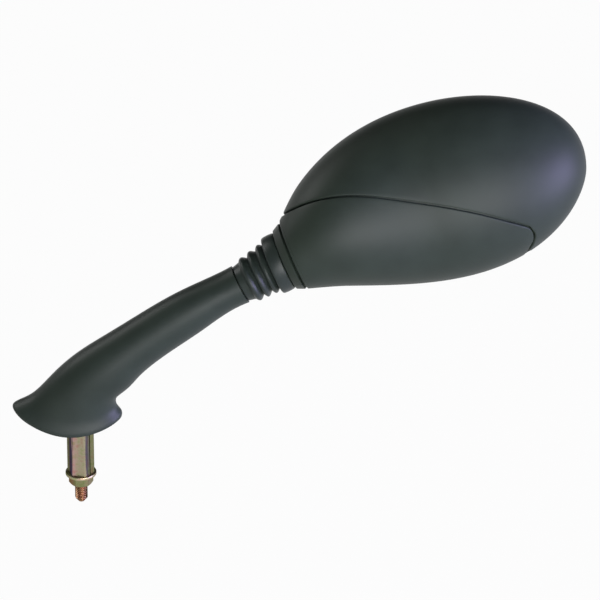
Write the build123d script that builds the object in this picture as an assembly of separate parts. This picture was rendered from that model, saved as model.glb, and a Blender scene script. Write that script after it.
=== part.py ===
"""Left-hand mirror for a scooter or motorcycle fairing.

A moulded arm with a saddle foot carries a bent steel rod. The rod's lower end is the threaded
mounting stud, and its upper end holds the ball on which the egg-shaped head turns.
A bellows boot covers the joint. Millimetres, +Z up along the stud, origin on the stud axis
at the seat of the foot. The glass faces +Y.
"""

import math
import os

from build123d import *

# Mounting stud, with the sleeve, washer and nut that it carries: mean and crest size of its thread
STUD_D = 7.2
STUD_END_D = 7.8
STUD_TIP_CHAMFER = 2.1
STUD_TIP_LENGTH = 2.6
STUD_FREE_LENGTH = 12.6
NUT_FLATS = 13.0
NUT_HEIGHT = 6.5
NUT_CHAMFER = 1.0
NUT_TURN = 5.0
WASHER_D = 19.0
WASHER_THICK = 1.8
WASHER_BEVEL = 0.4
SLEEVE_FLATS = 15.0
SLEEVE_LENGTH = 41.6
SLEEVE_TURN = -9.5
SLEEVE_CORNER_R = 1.8
SLEEVE_SLIT = 0.8
STUD_PLAY = 0.25

# Bent rod and its ball
ROD_D = 10.0
ROD_NECK_D = 8.0
ROD_NECK_LENGTH = 38.0
ELBOW_HEIGHT = 33.6
ELBOW_BEND = 36.0
NECK_RISE = 25.87
NECK_SWEEP = 7.78
ARM_REACH = 110.0
BALL_REACH = 45.2
BALL_D = 16.0
BALL_BORE_PAST_CENTRE = 3.0

# Moulded arm and its foot
FOOT_LENGTH = 65.8
FOOT_WIDTH = 35.0
FOOT_SHIFT = -7.2
# Rings over the foot's rim: rise, drawn in at the ends and at the sides, shift, share of the drop
FOOT_STATIONS = (
    (0.0, 0.0, 0.0, 0.0, 1.0),
    (4.0, 1.0, 0.7, 0.0, 0.95),
    (7.0, 4.6, 1.9, 1.6, 0.75),
    (11.0, 7.6, 2.4, 4.2, 0.45),
)
FOOT_WALL = 2.8
SADDLE_DROP = 8.5
SADDLE_TILT = 3.8
CAVITY_HEIGHT = 17.0
CAVITY_DRAFT = (11.0, 3.2)
CAVITY_SHIFT = 6.0
BOSS_D = 19.0
RIB_THICK = 2.2
ARM_END_D = 24.4
NOSE_D = 18.4
NOSE_LENGTH = 5.5
NOSE_ROOT = 6.0
SPINE_START_RISE = 6.3
SPINE_FOOT_PULL = (12.5, 18.4)
SPINE_NECK_PULL = 55.0
# Along the spine: share of its length, tilt from level, half height, half width
ARM_STATIONS = (
    (0.14, 15.0, 21.8, 15.2),
    (0.24, 30.0, 19.5, 15.4),
    (0.35, 45.0, 16.7, 14.8),
    (0.50, 53.5, 15.2, 14.0),
    (0.75, 62.0, 13.9, 13.1),
)

# Bellows boot
BOOT_FIT = 0.15
BOOT_WALL = 1.7
BOOT_RIBS = 3
CUFF_D = 22.8
CUFF_LENGTH = 5.0
CUFF_FLARE = 0.9
RIB_CREST_D = (28.6, 31.4)
RIB_ROOT_D = (23.6, 27.0)
COLLAR_D = 36.4
COLLAR_LENGTH = 8.2
COLLAR_CROWN = 0.8
BOOT_END_GAP = 0.4

# Head, in its own plane: x to the outer end, y up, z out of the back; origin at the ball
HEAD_LEAN = 29.0
NECK_SET = 9.3
NECK_D = 40.4
RING_WIDTH = 4.9
RING_TAPER = 0.9
WEB_THICK = 2.5
SPIGOT_D = 30.0
SPIGOT_WALL = 2.4
SPIGOT_LENGTH = 8.3
HEAD_TIP = (169.8, 50.6)
TOP_PULLS = ((8.8, 86.7), (75.2, 106.3))
TOP_TIP_PULL = 59.1
BOTTOM_PULLS = ((51.5, -16.2), (139.0, -36.8))
BOTTOM_TIP_PULL = -21.4
HEAD_FULLNESS = 0.775
HEAD_BELLY_Z = -13.0
HEAD_SWELL_END = 0.45
HEAD_STATIONS = (0.07, 0.16, 0.28, 0.42, 0.56, 0.69, 0.80, 0.89, 0.95, 0.985)
HEAD_WALL = 2.4

# Trim cover in the lower half of the head
COVER_THICK = 2.4
COVER_GAP = 0.3
SEAM_WIDTH = 1.1
NECK_GROOVE = 1.2
PART_LINE_Z = -16.0
SEAM_POINTS = ((-30.1, 12.0), (-13.6, 22.9), (14.6, 32.2), (57.7, 30.3), (113.5, 19.9))
SEAM_CORNER = (141.5, 12.5)
SEAM_CORNER_R = 7.0
SEAM_FALL = (112.1, -39.0)

# Glass and its seat
GLASS_CURVE_R = 1400.0
GLASS_CENTRE = (79.0, 38.0)
RIM_Z = -27.0
RIM_WIDTH = 3.0
GLASS_RECESS = 1.0
GLASS_THICK = 2.5
GLASS_PLAY = 0.4
BOND_THICK = 0.8
BOND_GAP = 0.1
BOND_INSET = 0.8
LEDGE_WIDTH = 4.0
LEDGE_THICK = 2.2

# Ball socket and its clamp
BALL_PLAY = 0.05
LINER_THICK = 1.4
SOCKET_PLAY = 0.1
SOCKET_WALL = 2.95
SPLIT_GAP = 1.0
LINER_MOUTH = 34.0
LINER_BACK = 35.0
LINER_SLIT = 1.2
SOCKET_MOUTH = 44.0
EAR_X = 9.0
EAR_Y = 13.6
EAR_R = 4.3
EAR_THICK = 5.0
CLAMP_SCREW_D = 4.0
CLAMP_HEAD_D = 7.4
CLAMP_HEAD_HEIGHT = 2.6
CLAMP_NUT_FLATS = 7.0
CLAMP_NUT_HEIGHT = 3.2
CLAMP_NUT_CHAMFER = 0.4
SPRING_D = 9.0
SPRING_SHEET = 0.8
SPRING_DISH = 0.5
PLATE_Z = 6.0
PLATE_THICK = 3.5
PLATE_HALF_WIDTH = 7.5
PLATE_FIXINGS = ((24.0, 6.0), (24.0, -6.0), (44.0, 0.0))

# Thread-forming screws and the posts that take them
SCREW_D = 3.5
SCREW_HEAD_D = 6.8
SCREW_HEAD_HEIGHT = 2.4
HEAD_ROUND_SHARE = 0.45
CROSS_LENGTH_SHARE = 0.55
CROSS_WIDTH_SHARE = 0.16
SCREW_BITE = 6.0
SCREW_PLAY = 0.3
POST_D = 8.0
COVER_BOSS_D = 7.0
COVER_BOSS_DEPTH = 7.0
COVER_BOSS_PLAY = 0.3
CUP_WALL = 1.6
CUP_FLOOR = 2.2
COVER_FIXINGS = ((34.0, -7.0), (76.0, -3.0), (114.0, 5.0))

RING_POINTS = 16
FAR = 300.0
UP = Vector(0, 0, 1)

# Places that follow from the sizes
rise = math.radians(NECK_RISE)
sweep_turn = math.radians(NECK_SWEEP)
lean = math.radians(HEAD_LEAN)
neck_axis = Vector(
    math.cos(rise) * math.cos(sweep_turn),
    math.cos(rise) * math.sin(sweep_turn),
    math.sin(rise),
)
elbow = Vector(0, 0, ELBOW_HEIGHT)
arm_end = elbow + neck_axis * ARM_REACH
ball_centre = arm_end + neck_axis * BALL_REACH
washer_top = -SLEEVE_LENGTH
nut_top = washer_top - WASHER_THICK
nut_bottom = nut_top - NUT_HEIGHT
stud_tip = nut_bottom - STUD_FREE_LENGTH
ring_face = NECK_SET + RING_WIDTH
spigot_end = ring_face + SPIGOT_LENGTH
socket_r = BALL_D / 2 + BALL_PLAY + LINER_THICK + SOCKET_PLAY
cup_r = socket_r + SOCKET_WALL
cover_seat = COVER_THICK + COVER_GAP
cavity_inset = cover_seat + HEAD_WALL
ledge_depth = GLASS_RECESS + GLASS_THICK + BOND_THICK

side_axis = UP.cross(neck_axis).normalized()
head_plane = Plane(
    origin=ball_centre,
    x_dir=(1, 0, 0),
    z_dir=(0, -math.cos(lean), math.sin(lean)),
)
# The neck axis as the head's own plane sees it
neck_in_head = Vector(
    neck_axis.dot(head_plane.x_dir),
    neck_axis.dot(head_plane.y_dir),
    neck_axis.dot(head_plane.z_dir),
)
# Frame of the ball clamp inside the head: x along the neck, z square to it towards the back
clamp_plane = Plane(
    origin=(0, 0, 0),
    x_dir=neck_in_head,
    z_dir=UP - neck_in_head * neck_in_head.Z,
)


def ease(x):
    """Smooth step from 0 to 1."""
    x = min(max(x, 0.0), 1.0)
    return x * x * (3 - 2 * x)


def rod_length(start, end, diameter):
    """Straight round bar along the neck axis between two distances from the ball."""
    plane = Plane(origin=ball_centre + neck_axis * start, z_dir=neck_axis)
    return extrude(plane * Circle(diameter / 2), end - start)


def hexagon(flats, turn):
    """Hexagon across flats, turned by an angle from a corner on +X."""
    return RegularPolygon(flats / 2, 6, major_radius=False, rotation=turn)


def bent_bar(low):
    """Round bar from a height on the stud's axis, round the elbow and up to the rod's neck."""
    neck_start = ball_centre - neck_axis * ROD_NECK_LENGTH
    path = FilletPolyline((0, 0, low), elbow, neck_start, radius=ELBOW_BEND)
    return sweep(Plane(origin=(0, 0, low)) * Circle(ROD_D / 2), path)


def stem_rod():
    """Bent bar, turned down to the stud below and to the ball's neck above."""
    stud = extrude(Circle(STUD_D / 2), nut_bottom)
    free_end = extrude(Pos(0, 0, nut_bottom) * Circle(STUD_END_D / 2), stud_tip - nut_bottom)
    tip = free_end.edges().sort_by(Axis.Z)[0]
    end_face = free_end.faces().sort_by(Axis.Z)[0]
    free_end = chamfer(tip, STUD_TIP_CHAMFER, STUD_TIP_LENGTH, reference=end_face)
    neck = rod_length(-ROD_NECK_LENGTH, BALL_BORE_PAST_CENTRE, ROD_NECK_D)
    return bent_bar(0.0) + stud + free_end + neck


def pivot_ball():
    """Ball with the blind bore that the rod's neck is pressed into."""
    ball = Pos(*ball_centre) * Sphere(BALL_D / 2)
    return ball - rod_length(-BALL_D, BALL_BORE_PAST_CENTRE, ROD_NECK_D)


def hex_sleeve():
    """Rolled hexagonal sleeve on the stud, with the slit of its seam."""
    outline = hexagon(SLEEVE_FLATS, SLEEVE_TURN)
    sleeve = extrude(fillet(outline.vertices(), SLEEVE_CORNER_R), -SLEEVE_LENGTH)
    sleeve -= extrude(Circle(STUD_END_D / 2 + STUD_PLAY), -SLEEVE_LENGTH)
    slit = Pos(SLEEVE_FLATS / 2, 0) * Rectangle(SLEEVE_FLATS, SLEEVE_SLIT)
    return sleeve - extrude(Rot(0, 0, SLEEVE_TURN - 30) * slit, -SLEEVE_LENGTH)


def seat_washer():
    """Flat washer under the sleeve."""
    disc = extrude(Pos(0, 0, washer_top) * Circle(WASHER_D / 2), -WASHER_THICK)
    disc = chamfer(disc.edges(), WASHER_BEVEL)
    hole = Pos(0, 0, washer_top) * Circle(STUD_END_D / 2 + STUD_PLAY)
    return disc - extrude(hole, -WASHER_THICK)


def chamfered_nut(flats, height, bore, bevel):
    """Hexagon nut with both ends turned off at the corners, standing on z 0."""
    nut = extrude(hexagon(flats, 0) - Circle(bore / 2), height)
    corner_r = flats / math.sqrt(3)
    slope = bevel * math.sqrt(3)
    profile = Polyline(
        (0, 0),
        (corner_r - slope, 0),
        (corner_r, bevel),
        (corner_r, height - bevel),
        (corner_r - slope, height),
        (0, height),
        close=True,
    )
    return nut & revolve(Plane.XZ * make_face(profile), Axis.Z)


def lock_nut():
    """Nut that holds sleeve and washer on the stud."""
    nut = chamfered_nut(NUT_FLATS, NUT_HEIGHT, STUD_D, NUT_CHAMFER)
    return Pos(0, 0, nut_bottom) * Rot(0, 0, NUT_TURN) * nut


def arm_spine():
    """Centre line of the arm: rises from the foot and runs out along the neck axis."""
    start = Vector(FOOT_SHIFT, 0, SPINE_START_RISE)
    foot_pull = start + Vector(SPINE_FOOT_PULL[0], 0, SPINE_FOOT_PULL[1])
    return Bezier(start, foot_pull, arm_end - neck_axis * SPINE_NECK_PULL, arm_end)


def ring_wire(centre, across, side, half_height, half_width, drop=0.0):
    """Closed oval about a centre; drop lowers its two sides, as the saddle does."""
    points = []
    for i in range(RING_POINTS):
        angle = 2 * math.pi * i / RING_POINTS
        sag = UP * (-drop * math.sin(angle) ** 2)
        oval = across * (half_height * math.cos(angle)) + side * (half_width * math.sin(angle))
        points.append(centre + oval + sag)
    return Wire([Spline(*points, periodic=True)])


def foot_ring(station):
    """Ring of the foot, tilted with the saddle."""
    height, in_long, in_wide, shift, drop = station
    tilt = math.radians(SADDLE_TILT)
    across = Vector(math.cos(tilt), 0, -math.sin(tilt))
    centre = Vector(FOOT_SHIFT + shift, 0, height - (FOOT_SHIFT + shift) * math.tan(tilt))
    half_long = FOOT_LENGTH / 2 - in_long
    half_wide = FOOT_WIDTH / 2 - in_wide
    return ring_wire(centre, across, Vector(0, 1, 0), half_long, half_wide, drop * SADDLE_DROP)


def foot_rings():
    """Rings from below the saddle up to the waist over the lip."""
    below = (-2 * SADDLE_DROP, 0.0, 0.0, 0.0, 0.0)
    return [foot_ring(station) for station in (below,) + FOOT_STATIONS]


def arm_ring(station):
    """Ring of the arm at a station of the spine."""
    share, tilt, half_height, half_width = station
    spine = arm_spine()
    turn = math.radians(NECK_SWEEP) * ease(share)
    side = Vector(-math.sin(turn), math.cos(turn), 0)
    forward = Vector(math.cos(turn), math.sin(turn), 0)
    angle = math.radians(tilt)
    across = forward * math.cos(angle) - UP * math.sin(angle)
    return ring_wire(spine @ share, across, side, half_height, half_width)


def arm_end_ring(beyond):
    """Round end of the arm, square to the neck axis, at a distance beyond its face."""
    across = side_axis.cross(neck_axis)
    centre = arm_end + neck_axis * beyond
    return ring_wire(centre, across, side_axis, ARM_END_D / 2, ARM_END_D / 2)


def saddle():
    """Round bar that the foot straddles, tilted as the seat is."""
    half = FOOT_WIDTH / 2
    radius = (half * half + SADDLE_DROP * SADDLE_DROP) / (2 * SADDLE_DROP)
    bar = Pos(0, 0, -radius) * Rot(0, 90, 0) * Cylinder(radius, FAR)
    return Rot(0, SADDLE_TILT, 0) * bar


def foot_cavity():
    """Hollow of the foot: straight up to the seat, then drawn in towards its ceiling."""
    half_long = FOOT_LENGTH / 2 - FOOT_WALL
    half_wide = FOOT_WIDTH / 2 - FOOT_WALL
    seat = Pos(FOOT_SHIFT, 0) * Ellipse(half_long, half_wide)
    ceiling = Ellipse(half_long - CAVITY_DRAFT[0], half_wide - CAVITY_DRAFT[1])
    ceiling = Pos(FOOT_SHIFT + CAVITY_SHIFT, 0, CAVITY_HEIGHT) * ceiling
    return loft([Pos(0, 0, -2 * SADDLE_DROP) * seat, seat, ceiling], ruled=True)


def arm_cover():
    """Moulded arm, hollow at the foot, with a ribbed boss round the stud and a nose for the boot."""
    rings = foot_rings() + [arm_ring(station) for station in ARM_STATIONS]
    body = Solid.make_loft(rings + [arm_end_ring(0.0), arm_end_ring(NOSE_LENGTH)])
    end_face = Plane(origin=arm_end, z_dir=neck_axis)
    body -= extrude(end_face * Rectangle(FAR, FAR), FAR)
    body += rod_length(-BALL_REACH - NOSE_ROOT, -BALL_REACH + NOSE_LENGTH, NOSE_D)
    body -= bent_bar(-2 * SADDLE_DROP)
    webs = Box(FAR, RIB_THICK, FAR) + Box(RIB_THICK, FAR, FAR) + Cylinder(BOSS_D / 2, FAR)
    sleeve_r = SLEEVE_FLATS / math.sqrt(3) + STUD_PLAY
    sleeve_room = extrude(Circle(sleeve_r), -2 * SADDLE_DROP)
    return body - saddle() - (foot_cavity() - webs) - sleeve_room


def boot_line(crest_d, root_d, cut):
    """Wavy run of the bellows from cuff to collar, thinned by a cut."""
    start = -BALL_REACH + CUFF_LENGTH
    end = -ring_face - BOOT_END_GAP - COLLAR_LENGTH
    pitch = (end - start) / BOOT_RIBS
    points = [(start, root_d[0] / 2 + CUFF_FLARE - cut)]
    for i in range(BOOT_RIBS):
        grow = i / (BOOT_RIBS - 1)
        crest = (crest_d[0] + (crest_d[1] - crest_d[0]) * grow) / 2
        root = (root_d[0] + (root_d[1] - root_d[0]) * grow) / 2
        points.append((start + pitch * (i + 0.5), crest - cut))
        points.append((start + pitch * (i + 1), root - cut))
    return points


def bellows_boot():
    """Rubber boot: cuff on the arm's nose, ribs, and a crowned collar on the head's spigot."""
    plane = Plane(origin=ball_centre, x_dir=neck_axis, z_dir=side_axis)
    cuff_bore = NOSE_D / 2 + BOOT_FIT
    collar_bore = SPIGOT_D / 2 + BOOT_FIT
    cuff_start = -BALL_REACH + BOOT_END_GAP
    collar_end = -ring_face - BOOT_END_GAP
    outer = boot_line(RIB_CREST_D, RIB_ROOT_D, 0.0)
    inner = boot_line(RIB_CREST_D, RIB_ROOT_D, BOOT_WALL)
    inner[0] = (inner[0][0], cuff_bore)
    collar_start = outer[-1][0]
    shoulder = COLLAR_D / 2 - COLLAR_CROWN
    middle = (collar_start + collar_end) / 2
    edges = [
        Line((cuff_start, cuff_bore), (cuff_start, CUFF_D / 2)),
        Line((cuff_start, CUFF_D / 2), outer[0]),
        Spline(*outer),
        Line(outer[-1], (collar_start, shoulder)),
        ThreePointArc((collar_start, shoulder), (middle, COLLAR_D / 2), (collar_end, shoulder)),
        Line((collar_end, shoulder), (collar_end, collar_bore)),
        Line((collar_end, collar_bore), (collar_start, collar_bore)),
        Line((collar_start, collar_bore), inner[-1]),
        Spline(*reversed(inner)),
        Line(inner[0], (cuff_start, cuff_bore)),
    ]
    return revolve(plane * make_face(edges), Axis(ball_centre, neck_axis))


def head_edges():
    """Upper and lower outline of the head, from the neck to the tip."""
    along = Vector(neck_in_head.X, neck_in_head.Y, 0).normalized()
    across = Vector(-along.Y, along.X, 0)
    centre = Vector(neck_in_head.X, neck_in_head.Y, 0) * -NECK_SET
    tip = Vector(*HEAD_TIP)
    top_end = tip + Vector(0, TOP_TIP_PULL)
    bottom_end = tip + Vector(0, BOTTOM_TIP_PULL)
    top = Bezier(centre + across * (NECK_D / 2), *TOP_PULLS, top_end, tip)
    bottom = Bezier(centre - across * (NECK_D / 2), *BOTTOM_PULLS, bottom_end, tip)
    return top, bottom


def head_section(top, bottom, share, inset):
    """Oval section across the head, drawn in by an inset from the two outlines."""
    rim_top = (top @ share) + (top % share).cross(UP) * inset
    rim_bottom = (bottom @ share) - (bottom % share).cross(UP) * inset
    half = (rim_top - rim_bottom).length / 2
    grow = ease(share / HEAD_SWELL_END)
    neck_z = -NECK_SET * neck_in_head.Z
    centre = (rim_top + rim_bottom) * 0.5 + UP * (neck_z + (HEAD_BELLY_Z - neck_z) * grow)
    across = (rim_top - rim_bottom).normalized()
    plane = Plane(origin=centre, x_dir=across, z_dir=across.cross(UP))
    return plane * Ellipse(half, half * (1 + (HEAD_FULLNESS - 1) * grow))


def egg(inset):
    """The head's full egg form from the neck to the tip, drawn in by an inset."""
    top, bottom = head_edges()
    along = Vector(neck_in_head.X, neck_in_head.Y, 0).normalized()
    neck = Plane(
        origin=neck_in_head * -NECK_SET,
        x_dir=Vector(-along.Y, along.X, 0),
        z_dir=neck_in_head,
    )
    sections = [neck * Circle(NECK_D / 2 - inset)]
    sections += [head_section(top, bottom, share, inset) for share in HEAD_STATIONS]
    tip = Vector(HEAD_TIP[0] - inset, HEAD_TIP[1], HEAD_BELLY_Z)
    return loft(sections + [Vertex(*tip)])


def glass_ball(depth):
    """Ball whose near face is the glass's curve, set in from the rim by a depth."""
    radius = GLASS_CURVE_R - depth
    return Pos(*GLASS_CENTRE, RIM_Z + GLASS_CURVE_R) * Sphere(radius)


def seam_outline(grow):
    """Flat outline of the cover's space under its seam, grown outwards all round."""
    points = [Vector(*point) for point in SEAM_POINTS]
    corner = Vector(*SEAM_CORNER)
    fall = Vector(*SEAM_FALL)
    run_way = (corner - points[-1]).normalized()
    fall_way = (fall - corner).normalized()
    start_way = (points[1] - points[0]).normalized()
    base = Spline(*points, tangents=(start_way, run_way))
    out = [(base % base.param_at_point(point)).cross(UP) * -grow for point in points]
    points = [point + step for point, step in zip(points, out)]
    run_out = run_way.cross(UP) * -1
    fall_out = fall_way.cross(UP) * -1
    corner += (run_out + fall_out) * (grow / (1 + run_out.dot(fall_out)))
    fall += fall_out * grow
    curve = Spline(*points, tangents=(start_way, run_way))
    run = Polyline(points[-1], corner, fall, (points[0].X, fall.Y), points[0])
    outline = make_face([curve, run])
    bend = outline.vertices().sort_by_distance(corner)[0]
    return fillet(bend, SEAM_CORNER_R + grow)


def cover_zone(grow, neck_gap):
    """Space of the trim cover: under the seam, over the part line, clear of the neck ring."""
    prism = extrude(Pos(0, 0, PART_LINE_Z - grow) * seam_outline(grow), FAR)
    past_neck = Plane(origin=neck_in_head * (neck_gap - NECK_SET), z_dir=neck_in_head)
    return prism & extrude(past_neck * Rectangle(2 * FAR, 2 * FAR), 2 * FAR)


def back_height(shape, x, y):
    """Height of a shape's back face over a point of the head's plane."""
    hits = shape.find_intersection_points(Axis((x, y, 0), (0, 0, 1)))
    return max(point.Z for point, normal in hits)


def upright(radius, low, high, x, y):
    """Round post in the head's plane between two heights."""
    return extrude(Pos(x, y, low) * Circle(radius), high - low)


def clamp_post(radius, low, high, x, y):
    """Round post in the clamp's plane between two heights."""
    return extrude(clamp_plane * Pos(x, y, low) * Circle(radius), high - low)


def screw(head_d, head_height, shank_d, length):
    """Pan head screw pointing up, with the head's bearing face on z 0."""
    head = Pos(0, 0, -head_height) * Cylinder(
        head_d / 2, head_height, align=(Align.CENTER, Align.CENTER, Align.MIN)
    )
    head = fillet(head.edges().sort_by(Axis.Z)[0], head_height * HEAD_ROUND_SHARE)
    arm = Box(head_d * CROSS_LENGTH_SHARE, head_d * CROSS_WIDTH_SHARE, head_height)
    slot = Pos(0, 0, -head_height) * arm
    cross = slot + Rot(0, 0, 90) * slot
    shank = Cylinder(shank_d / 2, length, align=(Align.CENTER, Align.CENTER, Align.MIN))
    return head - cross + shank


def cover_boss_seats(seat_skin):
    """Height of each cover boss's foot, with its place."""
    return [
        (x, y, back_height(seat_skin, x, y) - COVER_BOSS_DEPTH) for x, y in COVER_FIXINGS
    ]


def neck_tube():
    """Ring, web and spigot that carry the boot's collar, in the head's plane."""
    inner = NECK_D / 2 - cavity_inset
    hole = SPIGOT_D / 2 - SPIGOT_WALL
    points = (
        (-NECK_SET, inner),
        (-NECK_SET, NECK_D / 2),
        (-ring_face, NECK_D / 2 - RING_TAPER),
        (-ring_face, SPIGOT_D / 2),
        (-spigot_end, SPIGOT_D / 2),
        (-spigot_end, hole),
        (-ring_face + WEB_THICK, hole),
        (-ring_face + WEB_THICK, inner),
    )
    face = clamp_plane * Plane.XZ * make_face(Polyline(*points, close=True))
    return revolve(face, Axis((0, 0, 0), neck_in_head))


def head_housing(skin, cover_skin, seats):
    """Back shell: recess for the trim cover, rim and ledge for the glass, neck, posts and cups."""
    shell = (skin - cover_zone(SEAM_WIDTH / 2, 0.0)) + cover_skin
    shell &= glass_ball(0.0)
    hollow = egg(HEAD_WALL) - cover_zone(SEAM_WIDTH / 2 + HEAD_WALL, -FAR / 2)
    hollow += egg(cavity_inset)
    hollow &= glass_ball(ledge_depth + LEDGE_THICK)
    inside_ledge = glass_ball(ledge_depth)
    opening = egg(RIM_WIDTH + LEDGE_WIDTH) & inside_ledge
    pocket = egg(RIM_WIDTH) - inside_ledge
    shell = shell - hollow - opening - pocket
    wall_middle = egg(cover_seat + HEAD_WALL / 2)
    for x, y in PLATE_FIXINGS:
        shell += clamp_post(POST_D / 2, PLATE_Z + PLATE_THICK, FAR, x, y) & wall_middle
        shell -= clamp_post(SCREW_D / 2, PLATE_Z, PLATE_Z + PLATE_THICK + SCREW_BITE, x, y)
    cup_r_in = COVER_BOSS_D / 2 + COVER_BOSS_PLAY
    for x, y, seat in seats:
        shell += upright(cup_r_in + CUP_WALL, seat - CUP_FLOOR, FAR, x, y) & wall_middle
        shell -= upright(cup_r_in, seat, FAR, x, y)
        shell -= upright(SCREW_D / 2 + SCREW_PLAY, seat - CUP_FLOOR, seat, x, y)
    return shell + neck_tube()


def lower_cover(skin, seats):
    """Trim cover: a skin of the egg with three screw bosses behind it."""
    cover = (skin - egg(COVER_THICK)) & cover_zone(-SEAM_WIDTH / 2, NECK_GROOVE)
    cover_middle = egg(COVER_THICK / 2)
    for x, y, seat in seats:
        cover += upright(COVER_BOSS_D / 2, seat, FAR, x, y) & cover_middle
        cover -= upright(SCREW_D / 2, seat, seat + SCREW_BITE, x, y)
    return cover


def cover_screws(seats):
    """Screws from inside the housing into the cover's bosses."""
    length = CUP_FLOOR + SCREW_BITE
    one = screw(SCREW_HEAD_D, SCREW_HEAD_HEIGHT, SCREW_D, length)
    return [Pos(x, y, seat - CUP_FLOOR) * one for x, y, seat in seats]


def base_screws():
    """Screws through the socket's plate into the housing's posts."""
    one = screw(SCREW_HEAD_D, SCREW_HEAD_HEIGHT, SCREW_D, PLATE_THICK + SCREW_BITE)
    return [clamp_plane * Pos(x, y, PLATE_Z) * one for x, y in PLATE_FIXINGS]


def mirror_glass():
    """Convex glass, set in from the rim."""
    plate = egg(RIM_WIDTH + GLASS_PLAY) & glass_ball(GLASS_RECESS)
    return plate - glass_ball(GLASS_RECESS + GLASS_THICK)


def glass_adhesive():
    """Ring of adhesive between the glass and the housing's ledge."""
    ring = egg(RIM_WIDTH + BOND_INSET) - egg(RIM_WIDTH + LEDGE_WIDTH)
    ring &= glass_ball(GLASS_RECESS + GLASS_THICK + BOND_GAP)
    return ring - glass_ball(ledge_depth)


def mouth(half_angle, side):
    """Cone from the ball's centre that opens a cup along the neck axis; side is -1 or 1."""
    reach = 2 * cup_r
    radius = reach * math.tan(math.radians(half_angle))
    plane = Plane(origin=(0, 0, 0), z_dir=neck_in_head * side)
    return plane * Pos(0, 0, reach / 2) * Cone(0.001, radius, reach)


def half_space(low, high):
    """Slab of the clamp's plane between two heights."""
    return extrude(clamp_plane * Pos(0, 0, low) * Rectangle(FAR, FAR), high - low)


def ball_liner():
    """Nylon seat round the ball, slit so that it springs on."""
    inner = BALL_D / 2 + BALL_PLAY
    liner = Sphere(inner + LINER_THICK) - Sphere(inner)
    liner = liner - mouth(LINER_MOUTH, -1) - mouth(LINER_BACK, 1)
    slit = clamp_plane * Pos(0, 0, BALL_D / 2) * Box(2 * BALL_D, LINER_SLIT, BALL_D)
    return liner - slit


def clamp_ears(low, high):
    """Pair of screw ears across the neck, between two heights."""
    outline = Pos(EAR_X, 0) * SlotCenterToCenter(2 * EAR_Y, 2 * EAR_R, rotation=90)
    ears = extrude(clamp_plane * Pos(0, 0, low) * outline, high - low)
    for side in (-1, 1):
        ears -= clamp_post(CLAMP_SCREW_D / 2 + SCREW_PLAY, low, high, EAR_X, side * EAR_Y)
    return ears


def socket_base():
    """Half cup with ears, and the plate that screws to the housing."""
    half_gap = SPLIT_GAP / 2
    cup = Sphere(cup_r) & half_space(half_gap, FAR)
    far_x = max(x for x, y in PLATE_FIXINGS)
    ends = [Pos(x, y) * Circle(POST_D / 2) for x, y in PLATE_FIXINGS]
    root = Pos(0, 0) * Circle(PLATE_HALF_WIDTH)
    outline = make_hull((root + ends).edges())
    plate = extrude(clamp_plane * Pos(0, 0, PLATE_Z) * outline, PLATE_THICK)
    rib = Pos(far_x / 2, 0, PLATE_Z / 2 + half_gap) * Box(far_x, RIB_THICK, PLATE_Z)
    rib = clamp_plane * (rib - Pos(far_x, 0, 0) * Box(2 * POST_D, POST_D, 2 * PLATE_Z))
    base = cup + clamp_ears(half_gap, half_gap + EAR_THICK) + plate + rib
    for x, y in PLATE_FIXINGS:
        base -= clamp_post(SCREW_D / 2 + SCREW_PLAY, 0, PLATE_Z + PLATE_THICK, x, y)
    return base - Sphere(socket_r) - mouth(SOCKET_MOUTH, -1)


def clamp_cap():
    """The other half cup, drawn up by the clamp screws."""
    half_gap = SPLIT_GAP / 2
    cup = Sphere(cup_r) & half_space(-FAR, -half_gap)
    cap = cup + clamp_ears(-half_gap - EAR_THICK, -half_gap)
    return cap - Sphere(socket_r) - mouth(SOCKET_MOUTH, -1)


def clamp_places(height):
    """Places of the two clamp screws at a height of the clamp's plane."""
    return [clamp_plane * Pos(EAR_X, side * EAR_Y, height) for side in (-1, 1)]


def clamp_screws():
    """Screws that draw the two half cups together."""
    seat = SPRING_SHEET + SPRING_DISH
    length = seat + 2 * EAR_THICK + SPLIT_GAP + CLAMP_NUT_HEIGHT
    one = screw(CLAMP_HEAD_D, CLAMP_HEAD_HEIGHT, CLAMP_SCREW_D, length)
    return [place * one for place in clamp_places(-SPLIT_GAP / 2 - EAR_THICK - seat)]


def clamp_springs():
    """Disc springs under the screw heads."""
    bore = CLAMP_SCREW_D / 2 + SCREW_PLAY
    profile = Polyline(
        (bore, 0),
        (SPRING_D / 2, SPRING_DISH),
        (SPRING_D / 2, SPRING_DISH + SPRING_SHEET),
        (bore, SPRING_SHEET),
        close=True,
    )
    one = revolve(Plane.XZ * make_face(profile), Axis.Z)
    seat = SPRING_SHEET + SPRING_DISH
    return [place * one for place in clamp_places(-SPLIT_GAP / 2 - EAR_THICK - seat)]


def clamp_nuts():
    """Nuts on the clamp screws."""
    one = chamfered_nut(CLAMP_NUT_FLATS, CLAMP_NUT_HEIGHT, CLAMP_SCREW_D, CLAMP_NUT_CHAMFER)
    return [place * one for place in clamp_places(SPLIT_GAP / 2 + EAR_THICK)]


def head_pieces():
    """Everything that is built in the head's plane."""
    skin = egg(0.0)
    cover_skin = egg(cover_seat)
    seats = cover_boss_seats(cover_skin)
    return {
        "head_housing": head_housing(skin, cover_skin, seats),
        "lower_cover": lower_cover(skin, seats),
        "cover_screws": cover_screws(seats),
        "mirror_glass": mirror_glass(),
        "glass_adhesive": glass_adhesive(),
        "ball_liner": ball_liner(),
        "socket_base": socket_base(),
        "clamp_cap": clamp_cap(),
        "clamp_screws": clamp_screws(),
        "clamp_springs": clamp_springs(),
        "clamp_nuts": clamp_nuts(),
        "base_screws": base_screws(),
    }


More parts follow.
